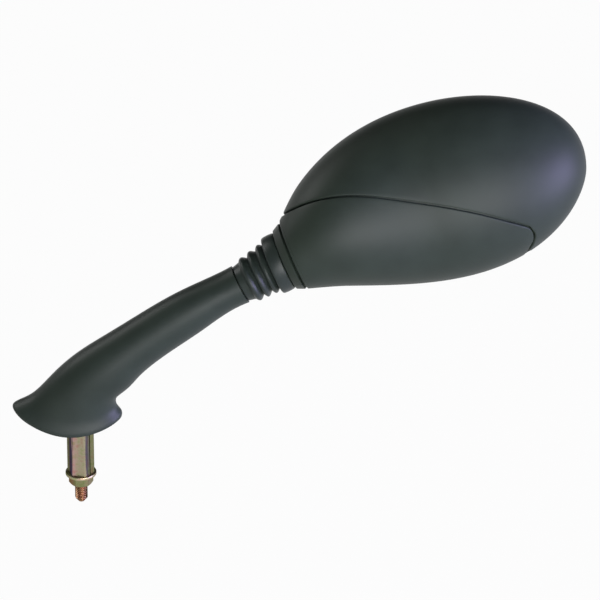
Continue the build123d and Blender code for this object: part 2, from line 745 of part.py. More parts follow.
def arm_pieces():
    """Everything that is built in the part's own frame."""
    return {
        "stem_rod": stem_rod(),
        "pivot_ball": pivot_ball(),
        "hex_sleeve": hex_sleeve(),
        "seat_washer": seat_washer(),
        "lock_nut": lock_nut(),
        "arm_cover": arm_cover(),
        "bellows_boot": bellows_boot(),
    }


def write(name, shape, place):
    """One node: a solid, or a group of like solids."""
    solids = shape if isinstance(shape, list) else [shape]
    moved = [solid for item in solids for solid in (place * item).solids()]
    node = moved[0] if len(moved) == 1 else Compound(children=moved)
    export_step(node, os.path.join("parts", name + ".step"))


os.makedirs("parts", exist_ok=True)
for piece, form in arm_pieces().items():
    write(piece, form, Location())
for piece, form in head_pieces().items():
    write(piece, form, head_plane.location)
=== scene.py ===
"""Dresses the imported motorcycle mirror: moulded arm, bellows boot, egg-shaped head and stud.

Lengths in the formulas are millimetres in the part's own frame: +Z along the stud, origin on
the stud's axis at the seat of the foot. They turn into metres when a mesh is made.
"""

import functools
import math

import bmesh
import bpy
import numpy as np
from bpy.props import FloatProperty, FloatVectorProperty, IntProperty, PointerProperty
from mathutils import Matrix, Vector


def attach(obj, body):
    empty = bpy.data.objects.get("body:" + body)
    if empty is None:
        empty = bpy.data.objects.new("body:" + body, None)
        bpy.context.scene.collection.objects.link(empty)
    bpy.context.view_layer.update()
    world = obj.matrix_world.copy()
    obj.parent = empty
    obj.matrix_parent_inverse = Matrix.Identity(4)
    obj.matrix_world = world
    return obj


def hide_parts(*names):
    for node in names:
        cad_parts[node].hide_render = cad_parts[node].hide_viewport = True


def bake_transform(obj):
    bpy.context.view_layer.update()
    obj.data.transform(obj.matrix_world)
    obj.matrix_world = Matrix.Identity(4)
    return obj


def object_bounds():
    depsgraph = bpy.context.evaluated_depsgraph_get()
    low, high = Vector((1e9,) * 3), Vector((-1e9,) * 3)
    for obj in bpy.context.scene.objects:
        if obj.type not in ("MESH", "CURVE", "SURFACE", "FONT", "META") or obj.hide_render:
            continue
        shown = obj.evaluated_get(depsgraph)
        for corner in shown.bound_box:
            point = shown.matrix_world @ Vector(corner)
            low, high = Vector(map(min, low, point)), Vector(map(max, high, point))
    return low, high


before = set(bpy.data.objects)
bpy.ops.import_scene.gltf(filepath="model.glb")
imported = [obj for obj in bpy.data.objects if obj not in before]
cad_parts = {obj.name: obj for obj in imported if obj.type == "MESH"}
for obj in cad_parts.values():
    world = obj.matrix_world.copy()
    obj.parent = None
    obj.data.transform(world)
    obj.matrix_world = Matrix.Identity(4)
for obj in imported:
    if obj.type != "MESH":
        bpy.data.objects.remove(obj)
cad_box = [list(corner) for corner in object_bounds()]

bl_info = {
    "name": "Motorcycle Mirror",
    "version": (1, 0, 0),
    "blender": (4, 5, 0),
    "location": "View3D > Sidebar > Mirror",
    "description": "Builds the visible pieces of a fairing mirror over its packed solids",
    "category": "Object",
}

MM = 0.001


def unit(vectors):
    """Vectors drawn to length one."""
    vectors = np.asarray(vectors, dtype=float)
    return vectors / np.linalg.norm(vectors, axis=-1, keepdims=True)


def ease(x):
    """Smooth step from 0 to 1."""
    x = np.clip(x, 0.0, 1.0)
    return x * x * (3 - 2 * x)


# Directions of the joint and of the head's plane: x to the outer end, y up, z out of the back
NECK_RISE = math.radians(25.87)
NECK_SWEEP = math.radians(7.78)
HEAD_LEAN = math.radians(29.0)
UPRIGHT = np.array([0.0, 0.0, 1.0])
LEVEL = np.array([math.cos(NECK_SWEEP), math.sin(NECK_SWEEP), 0.0])
NECK_AXIS = math.cos(NECK_RISE) * LEVEL + math.sin(NECK_RISE) * UPRIGHT
SIDE_AXIS = np.cross(UPRIGHT, LEVEL)
CROSS_AXIS = np.cross(SIDE_AXIS, NECK_AXIS)
HEAD_AXES = np.array(
    [
        [1.0, 0.0, 0.0],
        [0.0, math.sin(HEAD_LEAN), math.cos(HEAD_LEAN)],
        [0.0, -math.cos(HEAD_LEAN), math.sin(HEAD_LEAN)],
    ]
)
# Ball of the joint: on the neck axis, which starts at the stem's elbow
ELBOW_HEIGHT = 33.6
ARM_REACH = 110.0
BALL_REACH = 45.2
BALL_CENTRE = ELBOW_HEIGHT * UPRIGHT + (ARM_REACH + BALL_REACH) * NECK_AXIS
# Neck in the head's plane: its way and the two ways across it, how far its rings are raised,
# and how much their upper side leans forward
NECK_WAY = HEAD_AXES @ NECK_AXIS
NECK_ACROSS = unit([-NECK_WAY[1], NECK_WAY[0], 0.0])
NECK_DEPTH = np.cross(NECK_WAY, NECK_ACROSS)
NECK_LIFT = 1.2
NECK_LEAN = math.tan(math.radians(3.5))


def linear(colour):
    """Linear colour with alpha from a written sRGB hex colour."""
    parts = [int(colour[i : i + 2], 16) / 255 for i in (1, 3, 5)]
    light = [p / 12.92 if p <= 0.04045 else ((p + 0.055) / 1.055) ** 2.4 for p in parts]
    return (*light, 1.0)


def length_setting(name, description, metres):
    """Setting for a length."""
    return FloatProperty(name=name, description=description, default=metres, unit="LENGTH")


def power_setting(name, description, watts):
    """Setting for the power of a lamp."""
    return FloatProperty(name=name, description=description, default=watts, unit="POWER")


def colour_setting(name, description, code):
    """Setting for a colour, written as an sRGB hex colour."""
    return FloatVectorProperty(
        name=name, description=description, size=4, default=linear(code), subtype="COLOR"
    )


class MirrorStudSizes(bpy.types.PropertyGroup):
    """Sizes of the stud's fine detail."""

    thread_pitch: length_setting("Thread Pitch", "Rise of the stud's thread in one turn", 0.00125)
    thread_depth: length_setting(
        "Thread Depth", "Depth of the thread's groove under its crest", 0.00065
    )
    edge: length_setting("Edge Bevel", "Bevel of the sleeve's and the washer's edges", 0.0004)


class MirrorBootSizes(bpy.types.PropertyGroup):
    """Sizes of the bellows boot."""

    wall: length_setting("Wall", "Thickness of the rubber", 0.0017)
    groove: FloatProperty(
        name="Groove Sharpness",
        description="How tight the grooves are against the round crests of the ribs",
        default=0.62,
        min=0.3,
        max=1.0,
        subtype="FACTOR",
    )
    lip: length_setting("Lip Rounding", "Rounding of the collar's and the cuff's edges", 0.0009)
    around: IntProperty(
        name="Points Around",
        description="Points of each ring of the boot",
        default=128,
        min=24,
    )


class MirrorHeadSizes(bpy.types.PropertyGroup):
    """Sizes of the head's visible edges."""

    seam_width: length_setting("Seam Width", "Gap between the trim cover and the housing", 0.0012)
    seam_depth: length_setting("Seam Depth", "Depth of the gap round the trim cover", 0.0024)
    edge_round: length_setting("Edge Rounding", "Rounding of the edges along the seam", 0.0006)
    neck_groove: length_setting(
        "Neck Groove", "Gap between the trim cover and the neck ring", 0.0014
    )
    rim_width: length_setting("Rim Width", "Width of the rim round the glass", 0.003)
    rim_round: length_setting("Rim Rounding", "Rounding of the rim's outer edge", 0.0009)
    wall: length_setting("Wall", "Thickness of the housing", 0.0018)


class MirrorFinishes(bpy.types.PropertyGroup):
    """Colours of the mirror's finishes."""

    head_plastic: colour_setting(
        "Head Plastic", "Grained black plastic of the head and its trim cover", "#252d27"
    )
    arm_plastic: colour_setting("Arm Plastic", "Satin black plastic of the arm", "#252d28")
    boot_rubber: colour_setting("Boot Rubber", "Black rubber of the bellows", "#252c29")
    # The zinc colours are the coat's own hues; the stud's pieces lay them round the axis by the way
    # each face turns, as painted reflection, with the violet by the sleeve's corners as painted
    # shade
    zinc_gold: colour_setting("Zinc Gold", "Straw yellow of the passivated zinc coat", "#9a927a")
    zinc_rose: colour_setting("Zinc Rose", "Rose streaks of the zinc coat", "#b0918a")
    zinc_green: colour_setting("Zinc Green", "Olive green streaks of the zinc coat", "#7b7c5a")
    zinc_violet: colour_setting("Zinc Violet", "Dark violet streaks of the zinc coat", "#47404f")
    zinc_copper: colour_setting(
        "Zinc Copper", "Copper red of the coat on the stud's thread", "#a98469"
    )


class MirrorStage(bpy.types.PropertyGroup):
    """Light and camera of the stage."""

    front_power: power_setting("Front Lamp", "Power of the soft lamp in front of the mirror", 34.0)
    back_power: power_setting("Back Lamp", "Power of the soft lamp behind the arm", 9.0)
    side_power: power_setting("Side Lamp", "Power of the soft lamp beyond the mirror's tip", 60.0)
    side_tint: colour_setting("Side Tint", "Colour of the side lamp", "#c9c0ff")
    focal_length: FloatProperty(
        name="Focal Length",
        description="Lens of the camera",
        default=393.4,
        unit="CAMERA",
    )


# Points of a mesh that lie closer than the gap are merged; an edge bent further stays sharp
MERGE_GAP = 0.001
SHARP_BEND = math.radians(38)


def grid_faces(rows, columns, wrap_rows=False, wrap_columns=False):
    """Quads between the neighbouring points of a grid, closed on itself where it wraps."""
    row = np.arange(rows if wrap_rows else rows - 1)
    column = np.arange(columns if wrap_columns else columns - 1)
    row, column = np.meshgrid(row, column, indexing="ij")
    next_row = (row + 1) % rows
    next_column = (column + 1) % columns
    corners = (
        row * columns + column,
        row * columns + next_column,
        next_row * columns + next_column,
        next_row * columns + column,
    )
    return np.stack(corners, axis=-1).reshape(-1, 4)


def make_piece(name, points, faces, material):
    """Mesh object from points in millimetres: doubles merged, faces turned outwards, smooth."""
    mesh = bpy.data.meshes.new(name)
    mesh.from_pydata((np.asarray(points).reshape(-1, 3) * MM).tolist(), [], faces.tolist())
    shape = bmesh.new()
    shape.from_mesh(mesh)
    bmesh.ops.remove_doubles(shape, verts=shape.verts, dist=MERGE_GAP * MM)
    bmesh.ops.recalc_face_normals(shape, faces=shape.faces)
    shape.to_mesh(mesh)
    shape.free()
    mesh.shade_smooth()
    mesh.set_sharp_from_angle(angle=SHARP_BEND)
    mesh.materials.append(material)
    piece = bpy.data.objects.new(name, mesh)
    bpy.context.scene.collection.objects.link(piece)
    return piece


def add_node(tree, kind, settings=None, values=(), stops=(), **inputs):
    """Adds a shader node with its settings, its inputs and a ramp's (place, colour) stops.

    Inputs are given in order or by name: a number or colour is set, a socket is linked, and a
    node stands for its first output.
    """
    node = tree.nodes.new(kind)
    for key, value in (settings or {}).items():
        setattr(node, key, value)
    while stops and len(node.color_ramp.elements) < len(stops):
        node.color_ramp.elements.new(0.5)
    for index, (place, colour) in enumerate(stops):
        node.color_ramp.elements[index].position = place
        node.color_ramp.elements[index].color = colour
    named = [(node.inputs[key.replace("_", " ")], value) for key, value in inputs.items()]
    for socket, value in [*zip(node.inputs, values), *named]:
        if isinstance(value, bpy.types.Node):
            value = value.outputs[0]
        if isinstance(value, bpy.types.NodeSocket):
            tree.links.new(value, socket)
        else:
            socket.default_value = value
    return node


def new_material(name):
    """Empty material of that name, and its node tree."""
    material = bpy.data.materials.new(name)
    material.use_nodes = True
    material.node_tree.nodes.clear()
    return material, material.node_tree


def shade(colour, level):
    """Colour made lighter or darker by a factor, alpha kept."""
    return (*[min(1.0, part * level) for part in colour[:3]], 1.0)


# Moulded surfaces: size of the clouding and depth of the grain's pits in mm, how strongly both
# show, how far the roughness drifts, and the weak gloss of a black moulding
CLOUD_SIZE = 18.0
CLOUD_SHADE = 0.1
PIT_DEPTH = 0.05
PIT_STRENGTH = 0.22
ROUGHNESS_DRIFT = 0.03
MOULDED_GLOSS = 0.22


def grained_plastic(name, colour, grain, roughness):
    """Moulded plastic: black, with the fine even grain of an etched mould and faint clouding.

    The grain breaks the gloss into a soft, broad sheen. Grain is its size in millimetres.
    """
    material, tree = new_material(name)
    place = add_node(tree, "ShaderNodeTexCoord").outputs["Object"]
    pits = add_node(tree, "ShaderNodeTexNoise", Vector=place, Scale=1 / (grain * MM), Detail=2.0)
    cloud = add_node(
        tree, "ShaderNodeTexNoise", Vector=place, Scale=1 / (CLOUD_SIZE * MM), Detail=3.0
    )
    bump = add_node(
        tree, "ShaderNodeBump", Strength=PIT_STRENGTH, Distance=PIT_DEPTH * MM, Height=pits
    )
    tones = [(0.3, shade(colour, 1 - CLOUD_SHADE)), (0.7, shade(colour, 1 + CLOUD_SHADE))]
    gloss = add_node(
        tree,
        "ShaderNodeMapRange",
        Value=cloud,
        To_Min=roughness - ROUGHNESS_DRIFT,
        To_Max=roughness + ROUGHNESS_DRIFT,
    )
    shader = add_node(
        tree,
        "ShaderNodeBsdfPrincipled",
        Base_Color=add_node(tree, "ShaderNodeValToRGB", stops=tones, Fac=cloud),
        Roughness=gloss,
        Specular_IOR_Level=MOULDED_GLOSS,
        Normal=bump,
    )
    add_node(tree, "ShaderNodeOutputMaterial", Surface=shader)
    return material


# Zinc coat: sizes of its streaks, patches and scuffs in mm, how much the streaks are drawn out
# along the axis and how far they move the colours, in half turns, and the range of roughness
STREAK_SIZE = 1.6
STREAK_DRAW = 0.1
STREAK_WANDER = 0.07
PATCH_SIZE = 2.6
SCUFF_SIZE = 0.8
ZINC_ROUGHNESS = (0.26, 0.46)


def zinc_steel(name, stops):
    """Steel with a yellow passivated zinc coat: satin metal, streaked along its length.

    The stops of colour run round each half turn about the upright axis, so that a face's colour
    goes
    with the way it faces: the coat's own hues, laid out as a painted reflection of its iridescent
    sheen. A noise that is drawn out along the axis lets their edges wander.
    Over them lie faint rose and green patches. The film also darkens the metal at a glancing
    angle.
    """
    material, tree = new_material(name)
    place = add_node(tree, "ShaderNodeTexCoord").outputs["Object"]
    turn = add_node(tree, "ShaderNodeTexGradient", {"gradient_type": "RADIAL"}, Vector=place)
    drawn = add_node(tree, "ShaderNodeMapping", Vector=place, Scale=(1.0, 1.0, STREAK_DRAW))
    streaks = add_node(
        tree, "ShaderNodeTexNoise", Vector=drawn, Scale=1 / (STREAK_SIZE * MM), Detail=3.0
    )
    wander = add_node(
        tree, "ShaderNodeMapRange", Value=streaks, To_Min=-STREAK_WANDER, To_Max=STREAK_WANDER
    )
    twice = add_node(
        tree,
        "ShaderNodeMath",
        {"operation": "MULTIPLY_ADD"},
        (turn.outputs["Fac"], 2.0, wander),
    )
    half = add_node(tree, "ShaderNodeMath", {"operation": "FRACT"}, (twice,))
    # Painted reflection: the coat's hues laid by the way a face turns about the upright axis, two
    # bands to a turn
    film_and_painted_reflection = add_node(tree, "ShaderNodeValToRGB", stops=stops, Fac=half)
    film = add_node(
        tree, "ShaderNodeTexNoise", Vector=place, Scale=1 / (PATCH_SIZE * MM), Detail=6.0
    )
    tones = [(0.3, linear("#fbdcdf")), (0.5, linear("#ffffff")), (0.7, linear("#e2f0cd"))]
    patches = add_node(tree, "ShaderNodeValToRGB", stops=tones, Fac=film)
    tint = add_node(tree, "ShaderNodeMixRGB", {"blend_type": "MULTIPLY"}, (1.0, film_and_painted_reflection, patches))
    scuffs = add_node(
        tree, "ShaderNodeTexNoise", Vector=place, Scale=1 / (SCUFF_SIZE * MM), Detail=4.0
    )
    low, high = ZINC_ROUGHNESS
    shader = add_node(
        tree,
        "ShaderNodeBsdfPrincipled",
        Base_Color=tint,
        Metallic=1.0,
        Roughness=add_node(tree, "ShaderNodeMapRange", Value=scuffs, To_Min=low, To_Max=high),
        Specular_Tint=linear("#a8a4a6"),
    )
    add_node(tree, "ShaderNodeOutputMaterial", Surface=shader)
    return material


def clouded(name, dark, light, size, metallic, low, high):
    """Plain finish whose colour and roughness drift a little between two values over a size."""
    material, tree = new_material(name)
    place = add_node(tree, "ShaderNodeTexCoord").outputs["Object"]
    cloud = add_node(tree, "ShaderNodeTexNoise", Vector=place, Scale=1 / (size * MM), Detail=4.0)
    tones = [(0.35, linear(dark)), (0.65, linear(light))]
    shader = add_node(
        tree,
        "ShaderNodeBsdfPrincipled",
        Base_Color=add_node(tree, "ShaderNodeValToRGB", stops=tones, Fac=cloud),
        Metallic=metallic,
        Roughness=add_node(tree, "ShaderNodeMapRange", Value=cloud, To_Min=low, To_Max=high),
    )
    add_node(tree, "ShaderNodeOutputMaterial", Surface=shader)
    return material


# Moulded finishes: name, size of the grain in mm and roughness; the colour is the setting with
# the slot's name. A real etch is finer than 0.2 mm and is drawn coarser here, so that it shows.
MOULDED_FINISHES = {
    # Black moulded plastic of the arm: satin, with a fine grain
    "arm_plastic": ("satin_black_plastic", 0.5, 0.46),
    # The same plastic on the head: a little more matt
    "head_plastic": ("grained_black_plastic", 0.55, 0.5),
    # Soft black rubber: smoother than the plastic, so its ribs catch thin highlights
    "boot_rubber": ("black_rubber", 1.2, 0.4),
}
# Plain finishes: name, darker and lighter colour, size of their drift in mm, metallic, and the
# lowest and highest roughness
PLAIN_FINISHES = {
    # Bare ground steel of the ball and the clamp's screws: cool and bright
    "plain_steel": ("ground_steel", "#8d9094", "#a9acaf", 3.0, 1.0, 0.25, 0.38),
    # Natural nylon of the ball's seat: milky white
    "nylon": ("natural_nylon", "#d8d3c4", "#e4e0d3", 4.0, 0.0, 0.4, 0.5),
    # Silvered glass: a bright neutral mirror
    "mirror_glass": ("silvered_glass", "#dfe3e4", "#e6e9ea", 60.0, 1.0, 0.015, 0.03),
    # Dark butyl adhesive behind the glass: dull
    "adhesive": ("butyl_adhesive", "#26282b", "#313438", 2.0, 0.0, 0.7, 0.85),
}


@functools.cache
def finish(slot):
    """The material of a slot, made the first time that it is asked for."""
    colours = bpy.context.scene.mirror_finishes
    if slot in MOULDED_FINISHES:
        name, grain, roughness = MOULDED_FINISHES[slot]
        return grained_plastic(name, getattr(colours, slot), grain, roughness)
    if slot in PLAIN_FINISHES:
        return clouded(*PLAIN_FINISHES[slot])
    # Yellow zinc on the stud and its hardware: iridescent steel, its straw yellow lighter twice a
    # turn as a painted highlight
    if slot == "zinc_steel":
        gold = tuple(colours.zinc_gold)
        return zinc_steel("yellow_zinc_steel", [(0.2, gold), (0.5, shade(gold, 1.3)), (0.8, gold)])
    raise RuntimeError("no finish is made for the slot " + slot)


NODE_SLOTS = {
    "arm_cover": "arm_plastic",
    "stem_rod": "zinc_steel",
    "pivot_ball": "plain_steel",
    "hex_sleeve": "zinc_steel",
    "seat_washer": "zinc_steel",
    "lock_nut": "zinc_steel",
    "bellows_boot": "boot_rubber",
    "head_housing": "head_plastic",
    "lower_cover": "head_plastic",
    "cover_screws": "plain_steel",
    "mirror_glass": "mirror_glass",
    "glass_adhesive": "adhesive",
    "ball_liner": "nylon",
    "socket_base": "head_plastic",
    "clamp_cap": "head_plastic",
    "clamp_screws": "plain_steel",
    "clamp_springs": "plain_steel",
    "clamp_nuts": "plain_steel",
    "base_screws": "plain_steel",
}


class MIRROR_OT_finish_solids(bpy.types.Operator):
    """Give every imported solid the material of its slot"""

    bl_idname = "mirror.finish_solids"
    bl_label = "Finish Solids"

    def execute(self, context):
        for node, slot in NODE_SLOTS.items():
            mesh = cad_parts[node].data
            mesh.materials.clear()
            mesh.materials.append(finish(slot))
        return {"FINISHED"}


# Stud and its hardware: heights on the upright axis under the arm's foot
STUD_TIP = -62.5
NUT_BOTTOM = -49.9
NUT_TOP = -43.4
SLEEVE_BOTTOM = -41.6
SLEEVE_TOP = 0.0
# Radii, widths over flats, turns about the axis and points round of the same pieces
STUD_R = 3.6
STUD_CREST_R = 3.9
STUD_TIP_R = 1.8
STUD_TIP_LENGTH = 2.6
SLEEVE_FLATS = 15.0
SLEEVE_CORNER_R = 1.8
SLEEVE_CORNER_STEPS = 9
SLEEVE_TURN = math.radians(-9.5)
SLEEVE_SLIT = 0.8
SLEEVE_BORE_R = 4.15
WASHER_R = 9.5
WASHER_EDGE_MIDDLE = 0.3
NUT_FLATS = 13.0
NUT_TURN = math.radians(5.0)
NUT_CHAMFER = 1.0
NUT_AROUND = 96
# Thread: gap to the nut, rows to a turn, and how steep and how late its flanks leave the crest
THREAD_END = 0.02
THREAD_ROWS = 16
THREAD_SLOPE = 1.3
THREAD_CREST = 0.15
# Stem: its rod, the thinner neck that runs into the ball, and the elbow between foot and neck
ROD_R = 5.0
ROD_NECK_R = 4.0
ROD_NECK_START = -38.0
ROD_NECK_END = 3.0
ROD_ROWS = 61
STEM_AROUND = 64
ELBOW_BEND = 36.0
ELBOW_TURN = math.pi / 2 - NECK_RISE


def stem_rings(along):
    """Centres of the stem, and ways across it, at lengths along it from the tip of its stud.

    The line goes straight up, round the elbow's arc and straight along the neck: the turn grows
    evenly with the length over the arc, and is none before it and full after it.
    """
    start = ELBOW_HEIGHT - ELBOW_BEND * math.tan(ELBOW_TURN / 2)
    over = along + STUD_TIP - start
    turn = np.clip(over / ELBOW_BEND, 0.0, ELBOW_TURN)
    past = np.maximum(over - ELBOW_BEND * ELBOW_TURN, 0.0)
    out = ELBOW_BEND * (1 - np.cos(turn)) + past * math.sin(ELBOW_TURN)
    rise = np.minimum(over, 0.0) + ELBOW_BEND * np.sin(turn) + past * math.cos(ELBOW_TURN)
    centre = np.outer(out, LEVEL) + np.outer(start + rise, UPRIGHT)
    across = np.outer(np.cos(turn), LEVEL) - np.outer(np.sin(turn), UPRIGHT)
    return centre, across


def stem_surface(sizes):
    """Points of the stem: a round profile carried along its line, with a thread on the free end.

    The thread's radius falls from the crest by its depth times a wave of the height in pitches
    less the angle in turns, and the tip's cone cuts it off.
    """
    pitch = sizes.thread_pitch / MM
    free = NUT_BOTTOM - STUD_TIP - THREAD_END
    shank = -STUD_TIP
    cut = ELBOW_BEND * (2 * math.tan(ELBOW_TURN / 2) - ELBOW_TURN)
    ball = ELBOW_HEIGHT - STUD_TIP + ARM_REACH + BALL_REACH - cut
    neck = ball + ROD_NECK_START
    thread = np.linspace(0.0, free, round(THREAD_ROWS * free / pitch))
    bend = np.linspace(shank, neck, ROD_ROWS)
    along = np.concatenate([[0.0], thread, [free, shank], bend, [neck], [ball + ROD_NECK_END] * 2])
    plain = np.concatenate(
        [
            [0.0],
            np.full(len(thread), STUD_CREST_R),
            [STUD_R] * 2,
            np.full(len(bend), ROD_R),
            [ROD_NECK_R] * 2,
            [0.0],
        ]
    )
    angle = np.linspace(0, 2 * math.pi, STEM_AROUND, endpoint=False)
    phase = (along[:, None] / pitch - angle / (2 * math.pi)) % 1.0
    wave = np.clip(THREAD_SLOPE * (1 - np.abs(2 * phase - 1)) - THREAD_CREST, 0.0, 1.0)
    row = np.arange(len(along))
    threaded = (row > 0) & (row <= len(thread))
    radius = plain[:, None] - wave * threaded[:, None] * sizes.thread_depth / MM
    cone = STUD_TIP_R + (STUD_CREST_R - STUD_TIP_R) * along / STUD_TIP_LENGTH
    radius = np.where(threaded[:, None], np.minimum(radius, cone[:, None]), radius)
    centre, across = stem_rings(along)
    ring = np.cos(angle)[:, None] * across[:, None, :] + np.outer(np.sin(angle), SIDE_AXIS)
    return centre[:, None, :] + radius[..., None] * ring


def wall_grid(outline, inner, levels):
    """Points of a wall between an outer and an inner outline, row after row round its section.

    Each level is a height and a bevel, by which the outer outline is drawn in there; the inner
    outline goes straight down through the first and the last height.
    """
    size = np.linalg.norm(outline, axis=1)[:, None]
    rows = [(inner, levels[0][0])]
    rows += [(outline * (1 - bevel / size), height) for height, bevel in levels]
    rows += [(inner, levels[-1][0])]
    return np.stack([np.column_stack([line, np.full(len(line), z)]) for line, z in rows])


def sleeve_surface(edge):
    """Points of the rolled sleeve: a hexagon with round corners, open at its slit.

    Each corner is an arc about a point on the corner's ray; the bore's points lie at the same
    angles, and the two ends follow the slit's parallel sides.
    """
    corner = SLEEVE_TURN + np.radians(np.arange(0, 360, 60))[:, None]
    arc = corner + np.radians(np.linspace(-30, 30, SLEEVE_CORNER_STEPS))
    reach = (SLEEVE_FLATS / 2 - SLEEVE_CORNER_R) / math.cos(math.pi / 6)
    x = reach * np.cos(corner) + SLEEVE_CORNER_R * np.cos(arc)
    y = reach * np.sin(corner) + SLEEVE_CORNER_R * np.sin(arc)
    round_corners = np.column_stack([x.ravel(), y.ravel()])
    middle = SLEEVE_TURN - math.pi / 6
    way = np.array([math.cos(middle), math.sin(middle)])
    side = np.array([-way[1], way[0]]) * SLEEVE_SLIT / 2
    mouth = way * SLEEVE_FLATS / 2
    outline = np.concatenate([[mouth + side], round_corners, [mouth - side]])
    inner = unit(outline) * SLEEVE_BORE_R
    inner[0] = way * SLEEVE_BORE_R + side
    inner[-1] = way * SLEEVE_BORE_R - side
    levels = [
        (SLEEVE_TOP, edge),
        (SLEEVE_TOP - edge, 0.0),
        (SLEEVE_BOTTOM + edge, 0.0),
        (SLEEVE_BOTTOM, edge),
    ]
    return wall_grid(outline, inner, levels)


def washer_surface(edge):
    """Points of the washer: a flat ring with its outer edges bevelled twice, so they look round."""
    angle = np.linspace(0, 2 * math.pi, NUT_AROUND, endpoint=False)
    ring = np.column_stack([np.cos(angle), np.sin(angle)])
    middle = WASHER_EDGE_MIDDLE * edge
    levels = [
        (SLEEVE_BOTTOM, edge),
        (SLEEVE_BOTTOM - middle, middle),
        (SLEEVE_BOTTOM - edge, 0.0),
        (NUT_TOP + edge, 0.0),
        (NUT_TOP + middle, middle),
        (NUT_TOP, edge),
    ]
    return wall_grid(ring * WASHER_R, ring * SLEEVE_BORE_R, levels)


def nut_surface():
    """Points of the nut: a hexagon whose two ends are turned off by a cone.

    A side's distance is half the width over flats, over the cosine of the angle from the middle
    of that side. Where it is further out than the end's round face, the cone meets it that much
    higher, times the cone's slope, which leaves an arch on every flat.
    """
    angle = np.linspace(0, 2 * math.pi, NUT_AROUND, endpoint=False)
    ring = np.column_stack([np.cos(angle + NUT_TURN), np.sin(angle + NUT_TURN)])
    side = NUT_FLATS / 2 / np.cos((angle % (math.pi / 3)) - math.pi / 6)
    slope = 1 / math.sqrt(3)
    face = NUT_FLATS / math.sqrt(3) - NUT_CHAMFER / slope
    rise = np.maximum(side - face, 0.0) * slope
    end = np.minimum(side, face)
    bore = np.full(len(angle), STUD_R)
    low = np.full(len(angle), NUT_BOTTOM)
    top = np.full(len(angle), NUT_TOP)
    radii = np.stack([bore, end, side, side, end, bore])
    heights = np.stack([low, low, low + rise, top - rise, top, top])
    return np.concatenate([radii[..., None] * ring, heights[..., None]], axis=-1)


class MIRROR_OT_build_stud(bpy.types.Operator):
    """Build the threaded stem and the sleeve, washer and nut on its stud"""

    bl_idname = "mirror.build_stud"
    bl_label = "Stud Hardware"

    def execute(self, context):
        sizes = context.scene.mirror_stud
        coat = context.scene.mirror_finishes
        gold = tuple(coat.zinc_gold)
        rose = tuple(coat.zinc_rose)
        green = tuple(coat.zinc_green)
        violet = tuple(coat.zinc_violet)
        copper = tuple(coat.zinc_copper)
        edge = sizes.edge / MM
        # Rolled zinc-plated strip, its colours laid by the way each face turns as painted
        # reflection: violet and darker as painted shade by the corners, rose and straw on the flats
        strip = [
            (0.05, green),
            (0.2, violet),
            (0.28, violet),
            (0.33, rose),
            (0.46, gold),
            (0.6, gold),
            (0.66, shade(violet, 1.4)),
            (0.8, green),
        ]
        # The thread's film is copper red, the nut's green, the washer's straw yellow; their darker
        # and lighter stops round the axis are painted shade and painted highlight
        thread = [(0.1, shade(copper, 0.6)), (0.45, copper), (0.8, shade(copper, 0.7))]
        olive = [(0.15, shade(copper, 0.6)), (0.35, green), (0.6, green), (0.8, gold)]
        bright = [(0.1, green), (0.45, shade(gold, 1.5)), (0.9, shade(gold, 1.2))]
        for name, node, points, bored, slit, stops in (
            ("threaded_stem", "stem_rod", stem_surface(sizes), False, False, thread),
            ("rolled_sleeve", "hex_sleeve", sleeve_surface(edge), True, True, strip),
            ("round_washer", "seat_washer", washer_surface(edge), True, False, bright),
            ("hexagon_nut", "lock_nut", nut_surface(), True, False, olive),
        ):
            rows, columns = points.shape[:2]
            faces = grid_faces(rows, columns, bored, not slit)
            if slit:
                # Two quads close the section of six points on each side of the slit
                cheek = np.array([[0, 1, 4, 5], [1, 2, 3, 4]]) * columns
                faces = np.concatenate([faces, cheek, cheek[:, ::-1] + columns - 1])
            piece = make_piece(name, points, faces, zinc_steel(name + "_zinc", stops))
            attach(piece, "arm")
            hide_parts(node)
        return {"FINISHED"}


# Bellows boot along the neck axis: distances from the ball
CUFF_START = -44.8
RIBS_START = -40.2
COLLAR_START = -22.8
COLLAR_END = -14.6
# Its radii, the step from the cuff's bore to the ribs, the crest's place in a rib, and the steps
# of its curves
CUFF_START_R = 11.4
CUFF_END_R = 12.3
CUFF_BORE_R = 9.35
CUFF_BORE_STEP = 0.5
RIB_CREST_R = (14.3, 15.0, 15.7)
RIB_ROOT_R = (12.1, 12.9, 13.4)
RIB_CREST_PLACE = 0.4
RIB_STEPS = 24
COLLAR_R = 18.2
COLLAR_SHOULDER_R = 17.85
COLLAR_BORE_R = 15.15
COLLAR_STEPS = 13
LIP_STEPS = 6


def boot_skin(sharpness):
    """Outer line of the ribs: (distance, radius), with round crests and tight grooves.

    Over each rib the radius runs from groove to crest and back as a raised sine, its crest set
    a little towards the arm; a sharpness under one widens the crest and narrows the groove.
    """
    ribs = len(RIB_CREST_R)
    pitch = (COLLAR_START - RIBS_START) / ribs
    share = np.linspace(0, ribs, RIB_STEPS * ribs + 1)
    rib = np.minimum(share.astype(int), ribs - 1)
    within = share - rib
    roots = np.array((CUFF_END_R,) + RIB_ROOT_R)
    root = roots[rib] + (roots[rib + 1] - roots[rib]) * within
    crest = np.array(RIB_CREST_R)[rib]
    turn = math.pi * within ** (math.log(0.5) / math.log(RIB_CREST_PLACE))
    swell = np.abs(np.sin(turn)) ** (2 * sharpness)
    return np.column_stack([RIBS_START + pitch * share, root + (crest - root) * swell])


def corner_arc(corner, before, after, radius):
    """Rounded corner of a profile: a quarter of an oval that meets both sides smoothly."""
    into = unit(np.subtract(before, corner))
    out = unit(np.subtract(after, corner))
    turn = np.linspace(0, math.pi / 2, LIP_STEPS)[:, None]
    return corner + radius * (into * (1 - np.sin(turn)) + out * (1 - np.cos(turn)))


